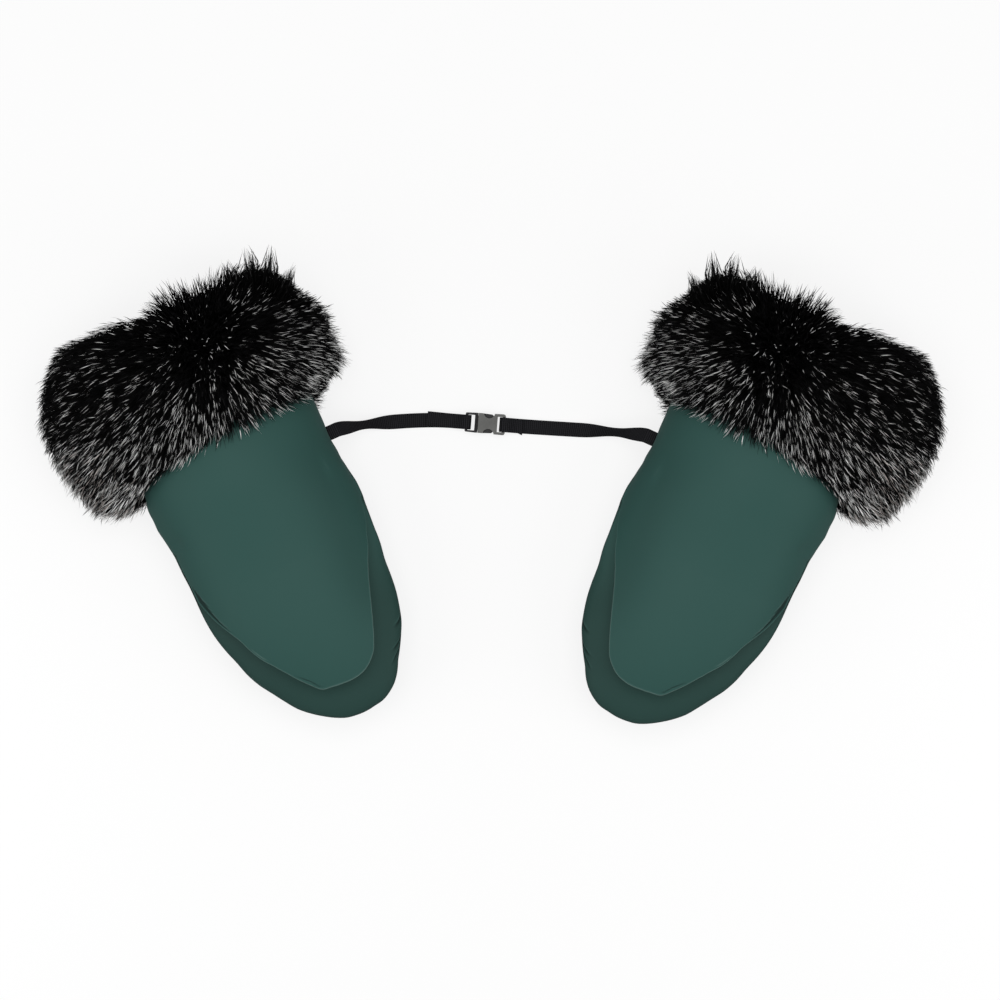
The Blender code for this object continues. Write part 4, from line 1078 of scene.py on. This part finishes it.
# The socket: a flat box with rounded corners, drawn in on both sides, with an eye for the webbing
socket = block("grey_socket", (-5.9, -7.0, 0.0), (13.4, 7.0, 6.6))
select_edges(socket, lambda a, b: abs(a.z - b.z) > 1e-6 and a.x > 0)
bpy.ops.mesh.bevel(offset=0.0016, segments=5)
bpy.ops.object.mode_set(mode="OBJECT")
select_edges(socket, lambda a, b: min(a.x, b.x) > 0)
bpy.ops.transform.resize(value=(1.0, 1.05, 1.0), center_override=(0.0, 0.0, 0.0))
bpy.ops.object.mode_set(mode="OBJECT")
for across in (-1, 1):
    bpy.ops.object.select_all(action="DESELECT")
    bpy.ops.mesh.primitive_cylinder_add(vertices=64, radius=waist_radius, depth=0.02,
                                        location=(waist_x, across * waist_across, buckle_height / 2))
    combine(socket, bpy.context.object, "DIFFERENCE")
combine(socket, block("eye", (7.7, -5.5, -1.0), (11.2, 5.4, 8.0), 0.4), "DIFFERENCE")
change(socket, "BEVEL", width=0.0006, segments=4, limit_method="ANGLE", angle_limit=math.radians(40))
combine(socket, block("cavity", (-7.0, -5.6, 1.3), (6.0, 5.6, 5.3)), "DIFFERENCE")
for low, high in round_the_bar:
    combine(socket, block("bar_room", (11.0, -5.5, low), (14.5, 5.4, high)), "DIFFERENCE")
fit_in_buckle(socket, "moulded_grey_acetal", "mitt_right", "buckle_socket")

# The plug: a frame with an eye and a ridge, a shoulder that fills the socket's mouth, and a tongue
plug = block("black_plug", (-15.0, -6.8, 1.4), (-6.1, 6.8, 5.2), 0.9)
select_edges(plug, lambda a, b: min(a.x, b.x) > -0.008)
bpy.ops.transform.resize(value=(1.0, 1.04, 1.0), center_override=(0.0, 0.0, 0.0))
bpy.ops.object.mode_set(mode="OBJECT")
combine(plug, block("eye", (-13.1, -5.6, -1.0), (-8.3, 5.4, 8.0), 0.4), "DIFFERENCE")
change(plug, "BEVEL", width=0.0004, segments=3, limit_method="ANGLE", angle_limit=math.radians(40))
for low, high in round_the_bar:
    combine(plug, block("bar_room", (-16.0, -5.6, low), (-12.9, 5.4, high)), "DIFFERENCE")
combine(plug, block("collar", (-7.0, -7.0, 1.6), (-6.05, 7.0, 5.0), 0.15), "UNION")
combine(plug, block("shoulder", (-6.6, -5.3, 1.7), (-4.9, 5.3, 4.9), 0.3), "UNION")
combine(plug, block("tongue", (-5.2, -1.3, 1.8), (0.8, 1.3, 4.8), 0.6), "UNION")
bpy.ops.object.select_all(action="DESELECT")
bpy.ops.mesh.primitive_cylinder_add(vertices=24, radius=0.0005, depth=0.0120,
                                    location=(-0.0073, 0.0, 0.0050), rotation=(math.pi / 2, 0.0, 0.0))
combine(plug, bpy.context.object, "UNION")
fit_in_buckle(plug, "moulded_black_acetal", "mitt_left", "buckle_plug")

# The prongs: a springing arm, and a head that fills the socket's waist and slopes to its nose
for name, across in (("upper", 1), ("lower", -1)):
    (a, b), (c, d) = (sorted((across * near, across * far)) for near, far in ((3.2, 4.6), (4.3, 6.95)))
    prong = block(f"black_prong_{name}", (-5.1, a, 1.7), (5.2, b, 4.9), 0.3)
    head = block("head", (-1.7, c, 1.7), (5.0, d, 4.9))
    select_edges(head, lambda p, q: max(p.x, q.x) < 0.0 and min(p.y * across, q.y * across) > 0.006)
    bpy.ops.transform.translate(value=(-0.0005, 0.0, 0.0))
    bpy.ops.object.mode_set(mode="OBJECT")
    select_edges(head, lambda p, q: min(p.x, q.x) > 0.004 and min(p.y * across, q.y * across) > 0.006)
    bpy.ops.transform.translate(value=(0.0, -across * 0.0004, 0.0))
    bpy.ops.mesh.bevel(offset=0.0017, segments=5)
    bpy.ops.object.mode_set(mode="OBJECT")
    combine(prong, head, "UNION")
    change(prong, "BEVEL", width=0.0003, segments=3, limit_method="ANGLE", angle_limit=math.radians(20))
    fit_in_buckle(prong, "moulded_black_acetal", f"prong_{name}", f"latch_prong_{name}")
